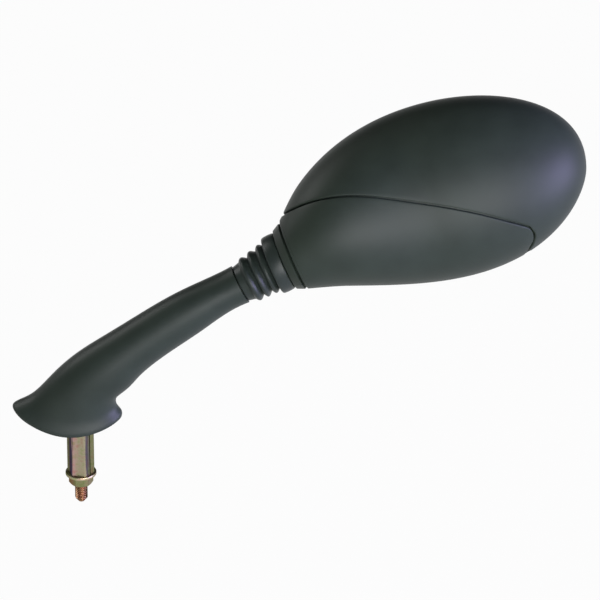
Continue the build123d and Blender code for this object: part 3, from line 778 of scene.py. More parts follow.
def boot_profiles(sizes):
    """Closed profiles of the boot's arm half and head half, and where they meet.

    They meet in the groove before the last rib. The collar's crown is a parabola over its width.
    """
    lip = sizes.lip / MM
    skin = boot_skin(sizes.groove)
    inner = skin - (0.0, sizes.wall / MM)
    split = RIB_STEPS * (len(RIB_CREST_R) - 1)
    cuff = corner_arc(
        (CUFF_START, CUFF_START_R), (CUFF_START, CUFF_BORE_R), (RIBS_START, CUFF_START_R), lip
    )
    lower = np.concatenate(
        [
            [(CUFF_START, CUFF_BORE_R)],
            cuff,
            skin[: split + 1],
            inner[: split + 1][::-1],
            [(RIBS_START - CUFF_BORE_STEP, CUFF_BORE_R)],
        ]
    )
    middle = (COLLAR_START + COLLAR_END) / 2
    top = (middle, COLLAR_R)
    root = (COLLAR_START, RIB_ROOT_R[-1])
    end = (COLLAR_END, COLLAR_BORE_R)
    first = corner_arc((COLLAR_START, COLLAR_SHOULDER_R), root, top, lip)
    last = corner_arc((COLLAR_END, COLLAR_SHOULDER_R), top, end, lip)
    span = np.linspace(first[-1, 0], last[0, 0], COLLAR_STEPS)[1:-1]
    rise = 1 - ((span - middle) / (COLLAR_END - middle)) ** 2
    crown = np.column_stack([span, COLLAR_SHOULDER_R + (COLLAR_R - COLLAR_SHOULDER_R) * rise])
    upper = np.concatenate(
        [
            skin[split:],
            first,
            crown,
            last,
            [end, (COLLAR_START, COLLAR_BORE_R)],
            inner[split:][::-1],
        ]
    )
    return lower, upper, skin[split, 0]


def about_neck(profile, around):
    """Points of a closed profile of (distance from the ball, radius) turned about the neck axis.

    A point is the ball's centre, plus the distance along the neck axis, plus the radius times
    the cosine and sine of the angle along the two axes square to it. From the cuff to the collar
    the rings rise and come to lean as the head's neck ring does, their upper side forward.
    """
    angle = np.linspace(0, 2 * math.pi, around, endpoint=False)
    ring = np.outer(np.cos(angle), CROSS_AXIS) + np.outer(np.sin(angle), SIDE_AXIS)
    place, radius = profile.T
    upward = NECK_ACROSS @ HEAD_AXES
    bend = ease((place - RIBS_START) / (COLLAR_START - RIBS_START))
    along = place[:, None] + np.outer(NECK_LEAN * radius * bend, ring @ upward)
    middle = BALL_CENTRE + NECK_LIFT * bend[:, None, None] * upward
    return middle + along[..., None] * NECK_AXIS + radius[:, None, None] * ring


class MIRROR_OT_build_boot(bpy.types.Operator):
    """Build the rubber bellows between the arm and the head"""

    bl_idname = "mirror.build_boot"
    bl_label = "Bellows Boot"

    def execute(self, context):
        sizes = context.scene.mirror_boot
        lower, upper, split = boot_profiles(sizes)
        for name, profile, bodies, start, end in (
            ("boot_arm_half", lower, ("ball_seat", "boot"), RIBS_START, split),
            ("boot_head_half", upper, ("boot", "head"), split, COLLAR_START),
        ):
            points = about_neck(profile, sizes.around)
            faces = grid_faces(len(profile), sizes.around, True, True)
            piece = make_piece(name, points, faces, finish("boot_rubber"))
            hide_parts("bellows_boot")
            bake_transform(piece)
        return {"FINISHED"}


# Head in its own plane, origin at the ball: outlines from the neck ring to the tip
HEAD_BACK = np.array([0.0, 0.0, 1.0])
NECK_SET = 9.3
NECK_R = 21.4
HEAD_TIP = (169.8, 50.6)
TOP_PULLS = ((10.0, 84.3), (74.9, 106.9))
TOP_TIP_PULL = 59.1
BOTTOM_PULLS = ((51.5, -16.2), (139.0, -36.8))
BOTTOM_TIP_PULL = -21.4
# Depth of its sections over their height, height of their middle, and length from neck to tip
HEAD_FULLNESS = 0.775
HEAD_BELLY_Z = -13.0
HEAD_RUN = 195.0
# Shares of the length over which the sections turn out of the neck, lose their lean and swell
NECK_BLEND = 0.07
NECK_LEAN_RUN = 0.12
HEAD_SWELL_END = 0.45
# Ball face of the glass, and height of the rim at its middle
GLASS_CURVE_R = 1400.0
GLASS_CENTRE = np.array([79.0, 38.0])
RIM_Z = -27.0
# Ring and spigot of the neck, and its bore: (distance from the ball, radius)
NECK_STEPS = (
    (-22.5, 12.6),
    (-22.5, 15.0),
    (-14.2, 15.0),
    (-14.2, 18.7),
    (-13.8, 19.2),
    (-NECK_SET, NECK_R),
)
NECK_BORE = ((-22.5, 12.6), (-16.0, 12.6), (-13.0, 14.0), (-11.0, 16.2))
# Seam of the trim cover: its points, its rounded corner and the way that it falls from there
PART_LINE_Z = -16.0
SEAM_POINTS = ((-30.1, 12.0), (-13.6, 22.9), (14.6, 32.2), (57.7, 30.3), (113.5, 19.9))
SEAM_SPAN_STEPS = 16
SEAM_CORNER = (141.5, 12.5)
SEAM_CORNER_R = 7.0
SEAM_CORNER_STEPS = 25
SEAM_FALL = (112.1, -39.0)
SEAM_FALL_RUN = 110.0
# Seam groove: lean of its wall, lap of its floor under the cover, gap behind the cover, its
# share of depth over the head's edges, and the sine of the angle past which it is full
SEAM_WALL_LEAN = 0.03
SEAM_LAP = 0.8
COVER_BACK_GAP = 0.05
GROOVE_LEAST = 0.06
GROOVE_FULL = 0.4
# Rim: rounding of its inner edge, the middle of that rounding, and depth of the glass's pocket
RIM_EDGE = 0.4
RIM_EDGE_MIDDLE = 0.12
POCKET_DEPTH = 4.0
# Angles of a rounded edge
QUARTER = np.radians([0.0, 25.0, 50.0, 75.0, 90.0])
# Searches on the head: steps along it, halvings of an angle, a small step for slopes, and the
# digits of a share with the slack that finds it again
SEARCH_STEPS = 4001
HALVINGS = 36
NUDGE = 1e-4
SHARE_DIGITS = 8
SHARE_SLACK = 1e-7
# Columns of the housing at the neck, along the body, past the seam and at the tip, its rows
# beside the cover and in the cover's seat, and the cover's own columns and rows
NECK_COLUMNS = 10
BODY_COLUMNS = 96
END_COLUMNS = 34
TIP_COLUMNS = 26
SIDE_ROWS = 44
SEAT_ROWS = 12
COVER_COLUMNS = 110
COVER_ROWS = 56
# Places where the seam's far end and its crossings of the head's edges are looked for
SEAM_END_SHARES = np.linspace(0.6, 0.92, 260)
SEAM_END_ANGLES = np.linspace(0.3, math.pi, 260)
CROSSING_SHARES = np.linspace(0.0, 0.9, 3000)
# Angles of a section past its top edge, which are mirrored past the bottom one, and over its back
EDGE_ANGLES = np.linspace(-1.25, 0, 110)
BACK_ANGLES = np.linspace(0, math.pi, 440)


def to_frame(points):
    """Points of the head's plane in the part's own frame."""
    return BALL_CENTRE + points @ HEAD_AXES


def bezier(pulls, share):
    """Bezier curve: neighbouring pull points are mixed by the share until one point is left."""
    points = np.repeat(np.asarray(pulls, dtype=float)[:, None, :], len(share), axis=1)
    share = share[:, None]
    while len(points) > 1:
        points = points[:-1] * (1 - share) + points[1:] * share
    return points[0]


def head_edge(side, pulls, tip_pull, share):
    """Points and directions of the head's upper or lower outline at shares of its length.

    The outline is a Bezier curve from the neck ring to the tip; side is 1 above and -1 below.
    """
    tip = np.array(HEAD_TIP)
    start = (side * NECK_R + NECK_LIFT) * NECK_ACROSS[:2] - NECK_SET * NECK_WAY[:2]
    points = np.array([start, *pulls, tip + (0.0, tip_pull), tip])
    fine = np.linspace(0, 1, SEARCH_STEPS)
    steps = np.linalg.norm(np.diff(bezier(points, fine), axis=0), axis=1)
    length = np.concatenate([[0.0], np.cumsum(steps)])
    place = np.interp(share, length / length[-1], fine)
    return bezier(points, place), unit(bezier(np.diff(points, axis=0), place))


def head_point(share, angle, inset=0.0):
    """Points of the egg form at shares of its length and angles round its section.

    A section is an oval: its half height joins the two outlines, its half depth is the half
    height times a fullness that eases from round at the neck to flatter in the middle. A point
    is the centre, plus the half height times the cosine, plus the half depth times the sine.
    The inset draws both outlines in. Angle 0 is the top edge, a quarter turn the back. The first
    sections lean, their top forward along the neck.
    """
    share, angle, inset = np.broadcast_arrays(share, angle, inset)
    shape = share.shape
    share, angle, inset = (part.ravel() for part in (share, angle, inset))
    top, top_way = head_edge(1, TOP_PULLS, TOP_TIP_PULL, share)
    low, low_way = head_edge(-1, BOTTOM_PULLS, BOTTOM_TIP_PULL, share)
    # A way with its two parts swapped and the second one turned round points to its right
    right = np.array([1.0, -1.0])
    top = top + top_way[:, ::-1] * right * inset[:, None]
    low = low - low_way[:, ::-1] * right * inset[:, None]
    half = (top - low) / 2
    size = np.linalg.norm(half, axis=1)[:, None]
    grow = ease(share / HEAD_SWELL_END)[:, None]
    neck_z = -NECK_SET * NECK_WAY[2]
    centre = np.hstack([(top + low) / 2, neck_z + (HEAD_BELLY_Z - neck_z) * grow])
    across = np.hstack([half, np.zeros_like(size)])
    lean = ease(share / NECK_BLEND)[:, None]
    depth = unit(NECK_DEPTH * (1 - lean) + HEAD_BACK * lean)
    depth = depth * size * (1 + (HEAD_FULLNESS - 1) * grow)
    points = centre + across * np.cos(angle)[:, None] + depth * np.sin(angle)[:, None]
    forward = NECK_LEAN * size[:, 0] * np.cos(angle) * (1 - ease(share / NECK_LEAN_RUN))
    points += np.outer(forward, NECK_WAY)
    return points.reshape(shape + (3,))


def glass_height(x, y, depth):
    """Height of the glass's ball face over the head's plane, set in from the rim by a depth."""
    reach = (x - GLASS_CENTRE[0]) ** 2 + (y - GLASS_CENTRE[1]) ** 2
    return RIM_Z + GLASS_CURVE_R - np.sqrt((GLASS_CURVE_R - depth) ** 2 - reach)


def over_glass(points, depth):
    """How far points of the head's plane lie behind the glass's ball face."""
    return points[..., 2] - glass_height(points[..., 0], points[..., 1], depth)


def rim_shares(inset, depth):
    """Shares of the head's length between which its sections reach down to the glass's ball."""
    share = np.linspace(0.0, 1.0, SEARCH_STEPS)
    gap = over_glass(head_point(share, -math.pi / 2, inset), depth)
    cut = np.flatnonzero(gap < 0)
    first, last = cut[0], cut[-1]
    step = share[1]
    low = share[first] - step * gap[first] / (gap[first] - gap[first - 1])
    high = share[last] + step * gap[last] / (gap[last] - gap[last + 1])
    return low, high


def rim_angle(share, inset, depth, side):
    """Angle at which a section meets the glass's ball, below its edge; side is 1 top, -1 bottom.

    Found by halving the quarter turn between the edge and the section's lowest point.
    """
    edge = 0.0 if side > 0 else math.pi
    near = np.zeros_like(share)
    far = np.ones_like(share)
    for _ in range(HALVINGS):
        half = (near + far) / 2
        angle = edge - side * half * math.pi / 2
        inside = over_glass(head_point(share, angle, inset), depth) > 0
        near = np.where(inside, half, near)
        far = np.where(inside, far, half)
    return edge - side * far * math.pi / 2


def spaced(start, end, count):
    """Numbers between two ends, closer together towards both: half a cosine wave."""
    return start + (end - start) * (1 - np.cos(np.linspace(0, math.pi, count))) / 2


def smooth_line(points, first_way, last_way, count):
    """Cubic curve through points that starts and ends in given directions.

    Its slopes are the ones that make the bend run on smoothly from span to span.
    """
    points = np.asarray(points, dtype=float)
    chord = np.linalg.norm(np.diff(points, axis=0), axis=1)
    links = np.eye(len(points))
    slopes = np.zeros((len(points), 2))
    slopes[0], slopes[-1] = first_way, last_way
    for i in range(1, len(points) - 1):
        before, after = chord[i - 1], chord[i]
        links[i, i - 1 : i + 2] = (after, 2 * (before + after), before)
        step_in = (points[i] - points[i - 1]) * after / before
        step_out = (points[i + 1] - points[i]) * before / after
        slopes[i] = 3 * (step_in + step_out)
    slopes = np.linalg.solve(links, slopes)
    t = np.linspace(0, 1, count, endpoint=False)[None, :, None]
    start = points[:-1, None]
    end = points[1:, None]
    chord = chord[:, None, None]
    run_in = slopes[:-1, None] * chord
    run_out = slopes[1:, None] * chord
    mix = (2 * t**3 - 3 * t**2 + 1) * start + (3 * t**2 - 2 * t**3) * end
    mix = mix + (t**3 - 2 * t**2 + t) * run_in + (t**3 - t**2) * run_out
    return np.concatenate([mix.reshape(-1, 2), points[-1:]])


def seam_outline():
    """Closed outline of the trim cover in the head's plane: seam, rounded corner and fall.

    The corner is an arc that touches the seam's last run and the fall, and the outline closes
    far below the head.
    """
    points = np.array(SEAM_POINTS)
    corner = np.array(SEAM_CORNER)
    run_way = unit(corner - points[-1])
    fall_way = unit(np.array(SEAM_FALL) - corner)
    curve = smooth_line(points, unit(points[1] - points[0]), run_way, SEAM_SPAN_STEPS)
    half = math.acos(-np.dot(run_way, fall_way)) / 2
    cut = SEAM_CORNER_R / math.tan(half)
    middle = corner + unit(fall_way - run_way) * SEAM_CORNER_R / math.sin(half)
    start = corner - run_way * cut - middle
    end = corner + fall_way * cut - middle
    full = math.pi - 2 * half
    turn = np.linspace(0, 1, SEAM_CORNER_STEPS)[:, None]
    arc = middle + (start * np.sin((1 - turn) * full) + end * np.sin(turn * full)) / math.sin(full)
    far = corner + fall_way * SEAM_FALL_RUN
    return np.concatenate([curve, arc, [far, (points[0, 0], far[1])]])


def seam_depth(points, outline):
    """How far points of the head's plane lie inside the cover's outline and over its part line.

    It is the distance to the nearest piece of the outline, counted below zero outside, or the
    height over the part line where that is less. A point is inside where a level ray from it
    crosses the outline an odd number of times.
    """
    start = outline
    side = np.roll(outline, -1, axis=0) - start
    place = points[..., None, :2]
    along = np.sum((place - start) * side, axis=-1) / np.sum(side * side, axis=-1)
    near = start + np.clip(along, 0, 1)[..., None] * side
    gap = np.linalg.norm(place - near, axis=-1).min(axis=-1)
    end_y = start[:, 1] + side[:, 1]
    crosses = (start[:, 1] > place[..., 1]) != (end_y > place[..., 1])
    slope = side[:, 0] / np.where(side[:, 1] == 0, 1.0, side[:, 1])
    left = place[..., 0] < start[:, 0] + (place[..., 1] - start[:, 1]) * slope
    inside = np.sum(crosses & left, axis=-1) % 2 == 1
    return np.minimum(np.where(inside, gap, -gap), points[..., 2] - PART_LINE_Z)


def seam_ends(levels, outline):
    """Shares of the head's length at which the cover's outline ends, for each level of depth.

    They are read off the depth of each section's deepest point, which falls along the head.
    """
    points = head_point(SEAM_END_SHARES[:, None], SEAM_END_ANGLES)
    deepest = seam_depth(points, outline).max(axis=1)
    return np.interp(-np.asarray(levels), -deepest, SEAM_END_SHARES)


def section_depths(share, outline):
    """Angles round the head's sections, and how deep inside the cover's seam each point lies.

    Past the top and the bottom edge a point is no deeper than the edge itself, so that the
    cover ends there in one line.
    """
    angle = np.concatenate([EDGE_ANGLES[:-1], BACK_ANGLES, math.pi - EDGE_ANGLES[-2::-1]])
    depth = seam_depth(head_point(share[:, None], angle), outline)
    edge = len(EDGE_ANGLES)
    depth[:, :edge] = np.minimum.accumulate(depth[:, :edge][:, ::-1], axis=1)[:, ::-1]
    depth[:, -edge:] = np.minimum.accumulate(depth[:, -edge:], axis=1)
    return angle, depth


def seam_angles(share, levels, outline):
    """Angles at which sections meet levels of the cover's depth, from above and from below.

    A section that doesn't reach a level gives the angle of its deepest point twice. The depth
    that is met comes along.
    """
    angle, depth = section_depths(share, outline)
    row = np.arange(len(share))
    peak = depth.argmax(axis=1)
    touched = np.flatnonzero(depth.max(axis=1) > min(levels))
    peak[touched[-1] + 1 :] = peak[touched[-1]]
    upper, lower, met = [], [], []
    for level in levels:
        inside = depth > level
        reached = inside.any(axis=1)
        first = np.where(reached, inside.argmax(axis=1), peak)
        last = np.where(reached, len(angle) - 1 - inside[:, ::-1].argmax(axis=1), peak)
        ends = []
        for near, far in ((first, first - 1), (last, last + 1)):
            span = depth[row, near] - depth[row, far]
            part = (depth[row, near] - level) / np.where(span == 0, 1.0, span)
            ends.append(angle[near] + (angle[far] - angle[near]) * np.where(reached, part, 0.0))
        upper.append(ends[0])
        lower.append(ends[1])
        met.append(np.where(reached, level, depth[row, peak]))
    return np.array(upper), np.array(lower), np.array(met)


def edge_crossings(levels, outline):
    """Pairs of shares close before and after the seam runs over the head's top or bottom edge."""
    places = []
    for angle in (0.0, math.pi):
        depth = seam_depth(head_point(CROSSING_SHARES, angle), outline)
        for level in levels:
            over = depth > level
            before = np.flatnonzero(over[:-1] != over[1:])
            places += [CROSSING_SHARES[before], CROSSING_SHARES[before + 1]]
    return np.concatenate(places)


def groove_depth(angle, deep):
    """Depth of the seam's groove by its angle: shallow where it runs over the head's edges."""
    grown = ease(np.abs(np.sin(angle)) / GROOVE_FULL)
    return deep * (GROOVE_LEAST + (1 - GROOVE_LEAST) * grown)


def neck_rings(steps, angle):
    """Rings of the neck at angles round it, from steps of (distance from the ball, radius).

    A point is the step's distance along the neck, plus the radius across it at the angle; rings
    are raised by the lift, and their upper side leans forward.
    """
    around = np.cos(angle)[:, None] * NECK_ACROSS + np.sin(angle)[:, None] * NECK_DEPTH
    place, radius = np.array(steps).T
    along = place + np.outer(NECK_LEAN * np.cos(angle), radius)
    spokes = NECK_LIFT * NECK_ACROSS + radius[:, None] * around[:, None, :]
    return along[..., None] * NECK_WAY + spokes


def housing_shares(levels, lip, outline):
    """Shares at which the housing has a section, and the numbers of the rim's first and last.

    The sections lie closer together where the rim and the seam begin and end.
    """
    low, high = rim_shares(0.0, lip)
    ends = np.sort(seam_ends(levels, outline))
    share = np.concatenate(
        [
            spaced(0.0, low, NECK_COLUMNS),
            spaced(low, ends[0], BODY_COLUMNS),
            ends,
            edge_crossings(levels, outline),
            spaced(ends[-1], high, END_COLUMNS),
            spaced(high, 1.0, TIP_COLUMNS),
        ]
    )
    share = np.unique(share.round(SHARE_DIGITS))
    first, last = np.searchsorted(share, (low - SHARE_SLACK, high - SHARE_SLACK))
    return share, first, last


def housing_grids(sizes, outline):
    """Outer and inner face of the housing from the spigot to the tip, and the rim's loop.

    Columns are sections of the egg form. Along a column the rows run from the rim over the top
    edge to the seam, down its rounded edge into the trim cover's seat, up again and on to the
    rim below. The inner face is the same grid drawn in by the wall, and the loop gives the rim's
    shares, angles and inner points.
    """
    gap = sizes.seam_width / MM / 2
    edge = sizes.edge_round / MM
    deep = sizes.seam_depth / MM
    lip = sizes.rim_round / MM
    groove = [SEAM_WALL_LEAN - gap, gap + SEAM_LAP]
    levels = np.concatenate([-gap - edge * (1 - np.sin(QUARTER)), groove])
    drops = np.concatenate([edge * (1 - np.cos(QUARTER)), [deep, deep]])
    share, first, last = housing_shares(levels, lip, outline)
    upper, lower, met = seam_angles(share, levels, outline)
    top = rim_angle(share, 0.0, lip, 1)
    bottom = rim_angle(share, 0.0, lip, -1)
    top[[first, last]] = -math.pi / 2
    bottom[[first, last]] = 3 * math.pi / 2
    span = np.linspace(0, 1, SIDE_ROWS)[:-1, None]
    seat = upper[-1] + (lower[-1] - upper[-1]) * np.linspace(0, 1, SEAT_ROWS)[1:-1, None]
    angle = np.concatenate(
        [
            top + (upper[0] - top) * span,
            upper,
            seat,
            lower[::-1],
            bottom + (lower[0] - bottom) * span[::-2],
        ]
    )
    drop = np.interp(met, levels, drops)
    upper_sunk = np.minimum(drop, groove_depth(upper, deep))
    lower_sunk = np.minimum(drop, groove_depth(lower, deep))
    seat_sunk = np.minimum(np.minimum(upper_sunk[-1], lower_sunk[-1]), groove_depth(seat, deep))
    inset = np.concatenate(
        [
            np.zeros((len(span), len(share))),
            upper_sunk,
            seat_sunk,
            lower_sunk[::-1],
            np.zeros((len(span[::-2]), len(share))),
        ]
    )
    skin = head_point(share[None, :], angle, inset)
    hollow = head_point(share[None, :], angle, inset + sizes.wall / MM)
    outer = np.concatenate([neck_rings(NECK_STEPS, angle[:, 0]), skin], axis=1)
    inner = np.concatenate([neck_rings(NECK_BORE, angle[:, 0]), hollow], axis=1)
    forth = slice(first, last + 1)
    back = slice(last - 1, first, -1)
    loop_share = np.concatenate([share[forth], share[back]])
    loop_angle = np.concatenate([top[forth], bottom[back]])
    loop_inner = np.concatenate([hollow[0, forth], hollow[-1, back]])
    return outer, inner, (loop_share, loop_angle, loop_inner)


def rim_rows(share, angle, inner, sizes):
    """Rows that carry the rim's profile along the rim: rounded edge, flat face, glass pocket.

    From each point of the rim the profile leaves along the skin, turns in a quarter circle
    towards the glass, runs on over the rim's width, drops behind the glass and goes back to the
    inner face.
    """
    lip = sizes.rim_round / MM
    width = sizes.rim_width / MM
    base = head_point(share, angle)
    along_share = head_point(share + NUDGE, angle) - head_point(share - NUDGE, angle)
    along_angle = head_point(share, angle + NUDGE) - head_point(share, angle - NUDGE)
    out = unit(np.cross(along_share, along_angle))
    path = unit(np.roll(base, -1, axis=0) - np.roll(base, 1, axis=0))
    run = unit(np.cross(out, path))
    run = run * -np.sign(run[:, 2:])
    inward = unit(np.cross(path, HEAD_BACK))
    centre = np.append(GLASS_CENTRE, RIM_Z)
    inward = inward * np.sign(np.sum(inward * (centre - base), axis=1))[:, None]
    rows = []
    for turn in QUARTER:
        rows.append(base + run * lip * math.sin(turn) + inward * lip * (1 - math.cos(turn)))
    face = base + run * lip + inward * width
    for set_back, depth in (
        (RIM_EDGE, 0.0),
        (RIM_EDGE_MIDDLE, RIM_EDGE_MIDDLE),
        (0.0, RIM_EDGE),
        (0.0, POCKET_DEPTH),
    ):
        rows.append(face - inward * set_back + HEAD_BACK * depth)
    rows.append(inner)
    return np.stack(rows)


def cover_grid(sizes, outline):
    """Closed skin of the trim cover: outer face with a rounded edge all round, and its back.

    Columns are sections of the egg form between the seam's two lines. The edge is drawn in by a
    quarter circle over its rounding, and the back is the same grid drawn in to the seat.
    """
    gap = sizes.seam_width / MM / 2
    edge = sizes.edge_round / MM
    deep = sizes.seam_depth / MM
    start = sizes.neck_groove / MM / HEAD_RUN
    levels = gap + edge * (1 - np.sin(QUARTER[::-1]))
    entry = start + edge * (1 - np.sin(QUARTER[::-1])) / HEAD_RUN
    ends = np.sort(seam_ends(levels, outline))
    body = spaced(entry[-1], ends[0], COVER_COLUMNS)
    share = np.concatenate([entry, body, ends, edge_crossings(levels, outline)])
    share = share[(share >= entry[0]) & (share <= ends[-1])]
    share = np.unique(share.round(SHARE_DIGITS))
    upper, lower, met = seam_angles(share, levels, outline)
    span = np.linspace(0, 1, COVER_ROWS)[1:-1, None]
    angle = np.concatenate([upper, upper[-1] + (lower[-1] - upper[-1]) * span, lower[::-1]])
    depth = np.concatenate([met, np.repeat(met[-1:], len(span), axis=0), met[::-1]])
    depth = np.minimum(depth, gap + (share - start)[None, :] * HEAD_RUN)
    inset = np.interp(depth, levels, edge * (1 - np.cos(QUARTER[::-1])))
    inset = np.minimum(inset, groove_depth(angle, deep))
    outer = head_point(share[None, :], angle, inset)
    under = head_point(share[None, :], angle, np.full_like(inset, deep - COVER_BACK_GAP))
    outer = np.concatenate([under[:, :1], outer, under[:, -1:]], axis=1)
    under = np.concatenate([under[:, :1], under, under[:, -1:]], axis=1)
    return np.concatenate([outer, under[::-1]])


class MIRROR_OT_build_head(bpy.types.Operator):
    """Build the egg-shaped housing and its trim cover"""

    bl_idname = "mirror.build_head"
    bl_label = "Head Housing and Trim Cover"

    def execute(self, context):
        sizes = context.scene.mirror_head
        outline = seam_outline()
        outer, inner, loop = housing_grids(sizes, outline)
        points = []
        faces = []
        count = 0
        for grid, closed in ((outer, False), (inner, False), (rim_rows(*loop, sizes), True)):
            points.append(grid.reshape(-1, 3))
            faces.append(count + grid_faces(*grid.shape[:2], wrap_columns=closed))
            count += len(points[-1])
        housing = make_piece(
            "head_shell",
            to_frame(np.concatenate(points)),
            np.concatenate(faces),
            finish("head_plastic"),
        )
        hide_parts("head_housing")
        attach(housing, "head")
        skin = cover_grid(sizes, outline)
        faces = grid_faces(*skin.shape[:2], wrap_rows=True)
        cover = make_piece(
            "trim_cover", to_frame(skin), faces, finish("head_plastic")
        )
        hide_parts("lower_cover")
        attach(cover, "head")
        return {"FINISHED"}


# Mirror glass: inset from the head's outline, set in from the rim, thickness, and the bevel of
# its ground edge with the place of the bevel's middle
GLASS_INSET = 3.4
GLASS_RECESS = 1.0
GLASS_THICK = 2.5
GLASS_BEVEL = 0.5
GLASS_BEVEL_MIDDLE = 0.3
GLASS_COLUMNS = 120
GLASS_RINGS = 25


def glass_grid():
    """Rings of the glass: from the middle of its front out to the ground edge and in at its back.

    The outline is where the head's form, drawn in by the inset, meets the glass's ball face. A
    ring is that outline drawn towards the middle, laid on a ball face of the ring's own depth.
    """
    low, high = rim_shares(GLASS_INSET, GLASS_RECESS)
    share = spaced(low, high, GLASS_COLUMNS)
    top = rim_angle(share, GLASS_INSET, GLASS_RECESS, 1)
    bottom = rim_angle(share, GLASS_INSET, GLASS_RECESS, -1)
    share = np.concatenate([share, share[-2:0:-1]])
    edge = head_point(share, np.concatenate([top, bottom[-2:0:-1]]), GLASS_INSET)[:, :2]
    spokes = edge - GLASS_CENTRE
    bevel = GLASS_BEVEL / np.linalg.norm(spokes, axis=1)
    whole = np.ones_like(bevel)
    rings = [(part * (1 - bevel), 0.0) for part in np.linspace(0, 1, GLASS_RINGS)]
    rings += [
        (1 - bevel * GLASS_BEVEL_MIDDLE, GLASS_BEVEL * GLASS_BEVEL_MIDDLE),
        (whole, GLASS_BEVEL),
        (whole, GLASS_THICK),
        (whole * 0.0, GLASS_THICK),
    ]
    grid = []
    for part, depth in rings:
        place = GLASS_CENTRE + part[:, None] * spokes
        height = glass_height(place[:, 0], place[:, 1], GLASS_RECESS + depth)
        grid.append(np.column_stack([place, height]))
    return np.stack(grid)


class MIRROR_OT_build_glass(bpy.types.Operator):
    """Build the convex mirror glass with its ground edge"""

    bl_idname = "mirror.build_glass"
    bl_label = "Mirror Glass"

    def execute(self, context):
        grid = glass_grid()
        faces = grid_faces(*grid.shape[:2], wrap_columns=True)
        glass = make_piece(
            "convex_glass", to_frame(grid), faces, finish("mirror_glass")
        )
        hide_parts("mirror_glass")
        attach(glass, "head")
        return {"FINISHED"}


# Stage, in metres: half the floor's side, the point that the lamps look at and their distance
FLOOR_HALF = 6.0
STAGE_MIDDLE = np.array([0.16, 0.02, 0.08])
LAMP_DISTANCE = 1.6
# Share of the floor's white that needs no lamp; the rest takes the object's shadow
FLOOR_GLOW = 0.97
# Camera from the origin: along the head, up it and out of its back, in mm, and its sensor
CAMERA_PLACE = np.array([134.3, 68.3, 4000.0])
SENSOR_WIDTH = 36.0
VIEW_END = 50.0


def place_on_stage(name, data, axes, place):
    """Lamp or camera with its own x, y and z axes in the columns given, at a place in metres."""
    item = bpy.data.objects.new(name, data)
    item.matrix_world = Matrix([*np.column_stack([axes, place]).tolist(), [0, 0, 0, 1]])
    bpy.context.scene.collection.objects.link(item)
    return item


def soft_lamp(name, way, size, power, tint):
    """Square area lamp that looks at the stage's middle from a direction."""
    data = bpy.data.lights.new(name, "AREA")
    data.size = size
    data.energy = power
    data.color = tint
    way = unit(way)
    side = unit(np.cross(UPRIGHT, way))
    axes = np.column_stack([side, np.cross(way, side), way])
    place_on_stage(name, data, axes, STAGE_MIDDLE + way * LAMP_DISTANCE)


def studio_floor():
    """White studio floor: white to the camera and to reflections, and it still takes shadow."""
    material, tree = new_material("studio_floor")
    ray = add_node(tree, "ShaderNodeLightPath").outputs
    either = (ray["Is Camera Ray"], ray["Is Glossy Ray"])
    seen = add_node(tree, "ShaderNodeMath", {"operation": "MAXIMUM"}, either)
    either = (seen, ray["Is Transmission Ray"])
    seen = add_node(tree, "ShaderNodeMath", {"operation": "MAXIMUM"}, either)
    share = add_node(tree, "ShaderNodeMath", {"operation": "MULTIPLY"}, (seen, FLOOR_GLOW))
    paper = add_node(tree, "ShaderNodeBsdfDiffuse", Color=linear("#808080"))
    glow = add_node(tree, "ShaderNodeEmission", Color=linear("#ffffff"), Strength=1.0)
    shown = add_node(tree, "ShaderNodeMixShader", None, (share, paper, glow))
    add_node(tree, "ShaderNodeOutputMaterial", Surface=shown)
    return material


def studio_world(scene):
    """World of a white sweep: white at the horizon, dim grey overhead."""
    world = bpy.data.worlds.new("studio_world")
    world.use_nodes = True
    tree = world.node_tree
    tree.nodes.clear()
    place = add_node(tree, "ShaderNodeTexCoord").outputs["Generated"]
    height = add_node(tree, "ShaderNodeSeparateXYZ", Vector=place).outputs["Z"]
    white = linear("#ffffff")
    tones = [(0.0, white), (0.05, white), (0.2, linear("#3e3e3e")), (0.75, linear("#1c1e1c"))]
    tint = add_node(tree, "ShaderNodeValToRGB", stops=tones, Fac=height)
    sky = add_node(tree, "ShaderNodeBackground", Color=tint, Strength=1.0)
    add_node(tree, "ShaderNodeOutputWorld", Surface=sky)
    scene.world = world


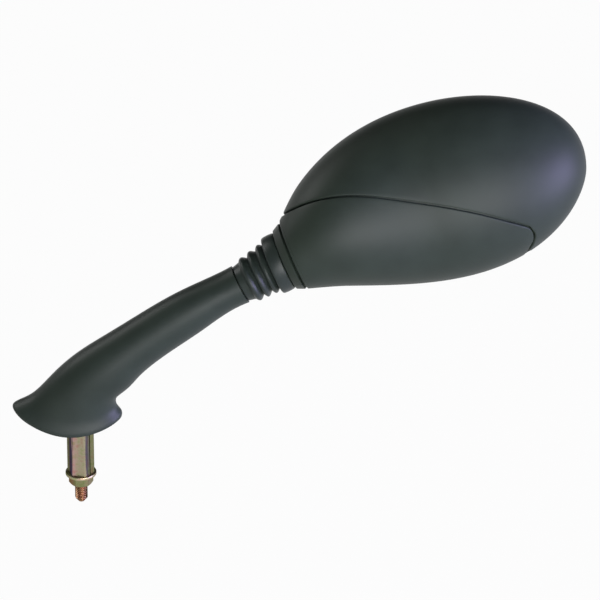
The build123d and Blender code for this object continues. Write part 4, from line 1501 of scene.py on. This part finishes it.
class MIRROR_OT_build_stage(bpy.types.Operator):
    """Build the floor, the light and the camera"""

    bl_idname = "mirror.build_stage"
    bl_label = "Stage"

    def execute(self, context):
        scene = context.scene
        stage = scene.mirror_stage
        half = FLOOR_HALF
        low = cad_box[0][2]
        corners = [(-half, -half, low), (half, -half, low), (half, half, low), (-half, half, low)]
        floor = bpy.data.objects.new("studio_floor", bpy.data.meshes.new("studio_floor"))
        floor.data.from_pydata(corners, [], [(0, 1, 2, 3)])
        floor.data.materials.append(studio_floor())
        scene.collection.objects.link(floor)
        studio_world(scene)
        white = (1.0, 1.0, 1.0)
        soft_lamp("front_lamp", (0.28, -1.0, 0.2), 1.0, stage.front_power, white)
        soft_lamp("back_lamp", (-0.75, 0.35, 0.55), 0.7, stage.back_power, white)
        soft_lamp("side_lamp", (1.0, -0.3, 0.1), 0.9, stage.side_power, stage.side_tint[:3])
        data = bpy.data.cameras.new("photo_camera")
        data.lens = stage.focal_length
        data.sensor_width = SENSOR_WIDTH
        data.clip_end = VIEW_END
        place = CAMERA_PLACE @ HEAD_AXES * MM
        scene.camera = place_on_stage("photo_camera", data, HEAD_AXES.T, place)
        scene.view_settings.view_transform = "Standard"
        return {"FINISHED"}


class MIRROR_PT_sidebar(bpy.types.Panel):
    """Lists the steps that build the mirror"""

    bl_idname = "MIRROR_PT_sidebar"
    bl_label = "Motorcycle Mirror"
    bl_space_type = "VIEW_3D"
    bl_region_type = "UI"
    bl_category = "Mirror"

    def draw(self, context):
        layout = self.layout
        for step in OPERATORS:
            layout.operator(step.bl_idname)
        for name in GROUPS:
            group = getattr(context.scene, name)
            for key in group.bl_rna.properties.keys():
                if key not in ("rna_type", "name"):
                    layout.prop(group, key)


OPERATORS = (
    MIRROR_OT_finish_solids,
    MIRROR_OT_build_stud,
    MIRROR_OT_build_boot,
    MIRROR_OT_build_head,
    MIRROR_OT_build_glass,
    MIRROR_OT_build_stage,
)
GROUPS = {
    "mirror_stud": MirrorStudSizes,
    "mirror_boot": MirrorBootSizes,
    "mirror_head": MirrorHeadSizes,
    "mirror_finishes": MirrorFinishes,
    "mirror_stage": MirrorStage,
}


def register():
    """Adds the settings, the steps and the panel."""
    for name, group in GROUPS.items():
        bpy.utils.register_class(group)
        setattr(bpy.types.Scene, name, PointerProperty(type=group))
    for step in OPERATORS:
        bpy.utils.register_class(step)
    bpy.utils.register_class(MIRROR_PT_sidebar)


def unregister():
    """Takes the panel, the steps and the settings away again."""
    bpy.utils.unregister_class(MIRROR_PT_sidebar)
    for step in reversed(OPERATORS):
        bpy.utils.unregister_class(step)
    for name, group in GROUPS.items():
        delattr(bpy.types.Scene, name)
        bpy.utils.unregister_class(group)


def main():
    """Builds the whole scene."""
    register()
    bpy.ops.mirror.finish_solids()
    bpy.ops.mirror.build_stud()
    bpy.ops.mirror.build_boot()
    bpy.ops.mirror.build_head()
    bpy.ops.mirror.build_glass()
    bpy.ops.mirror.build_stage()


if __name__ == "__main__":
    main()
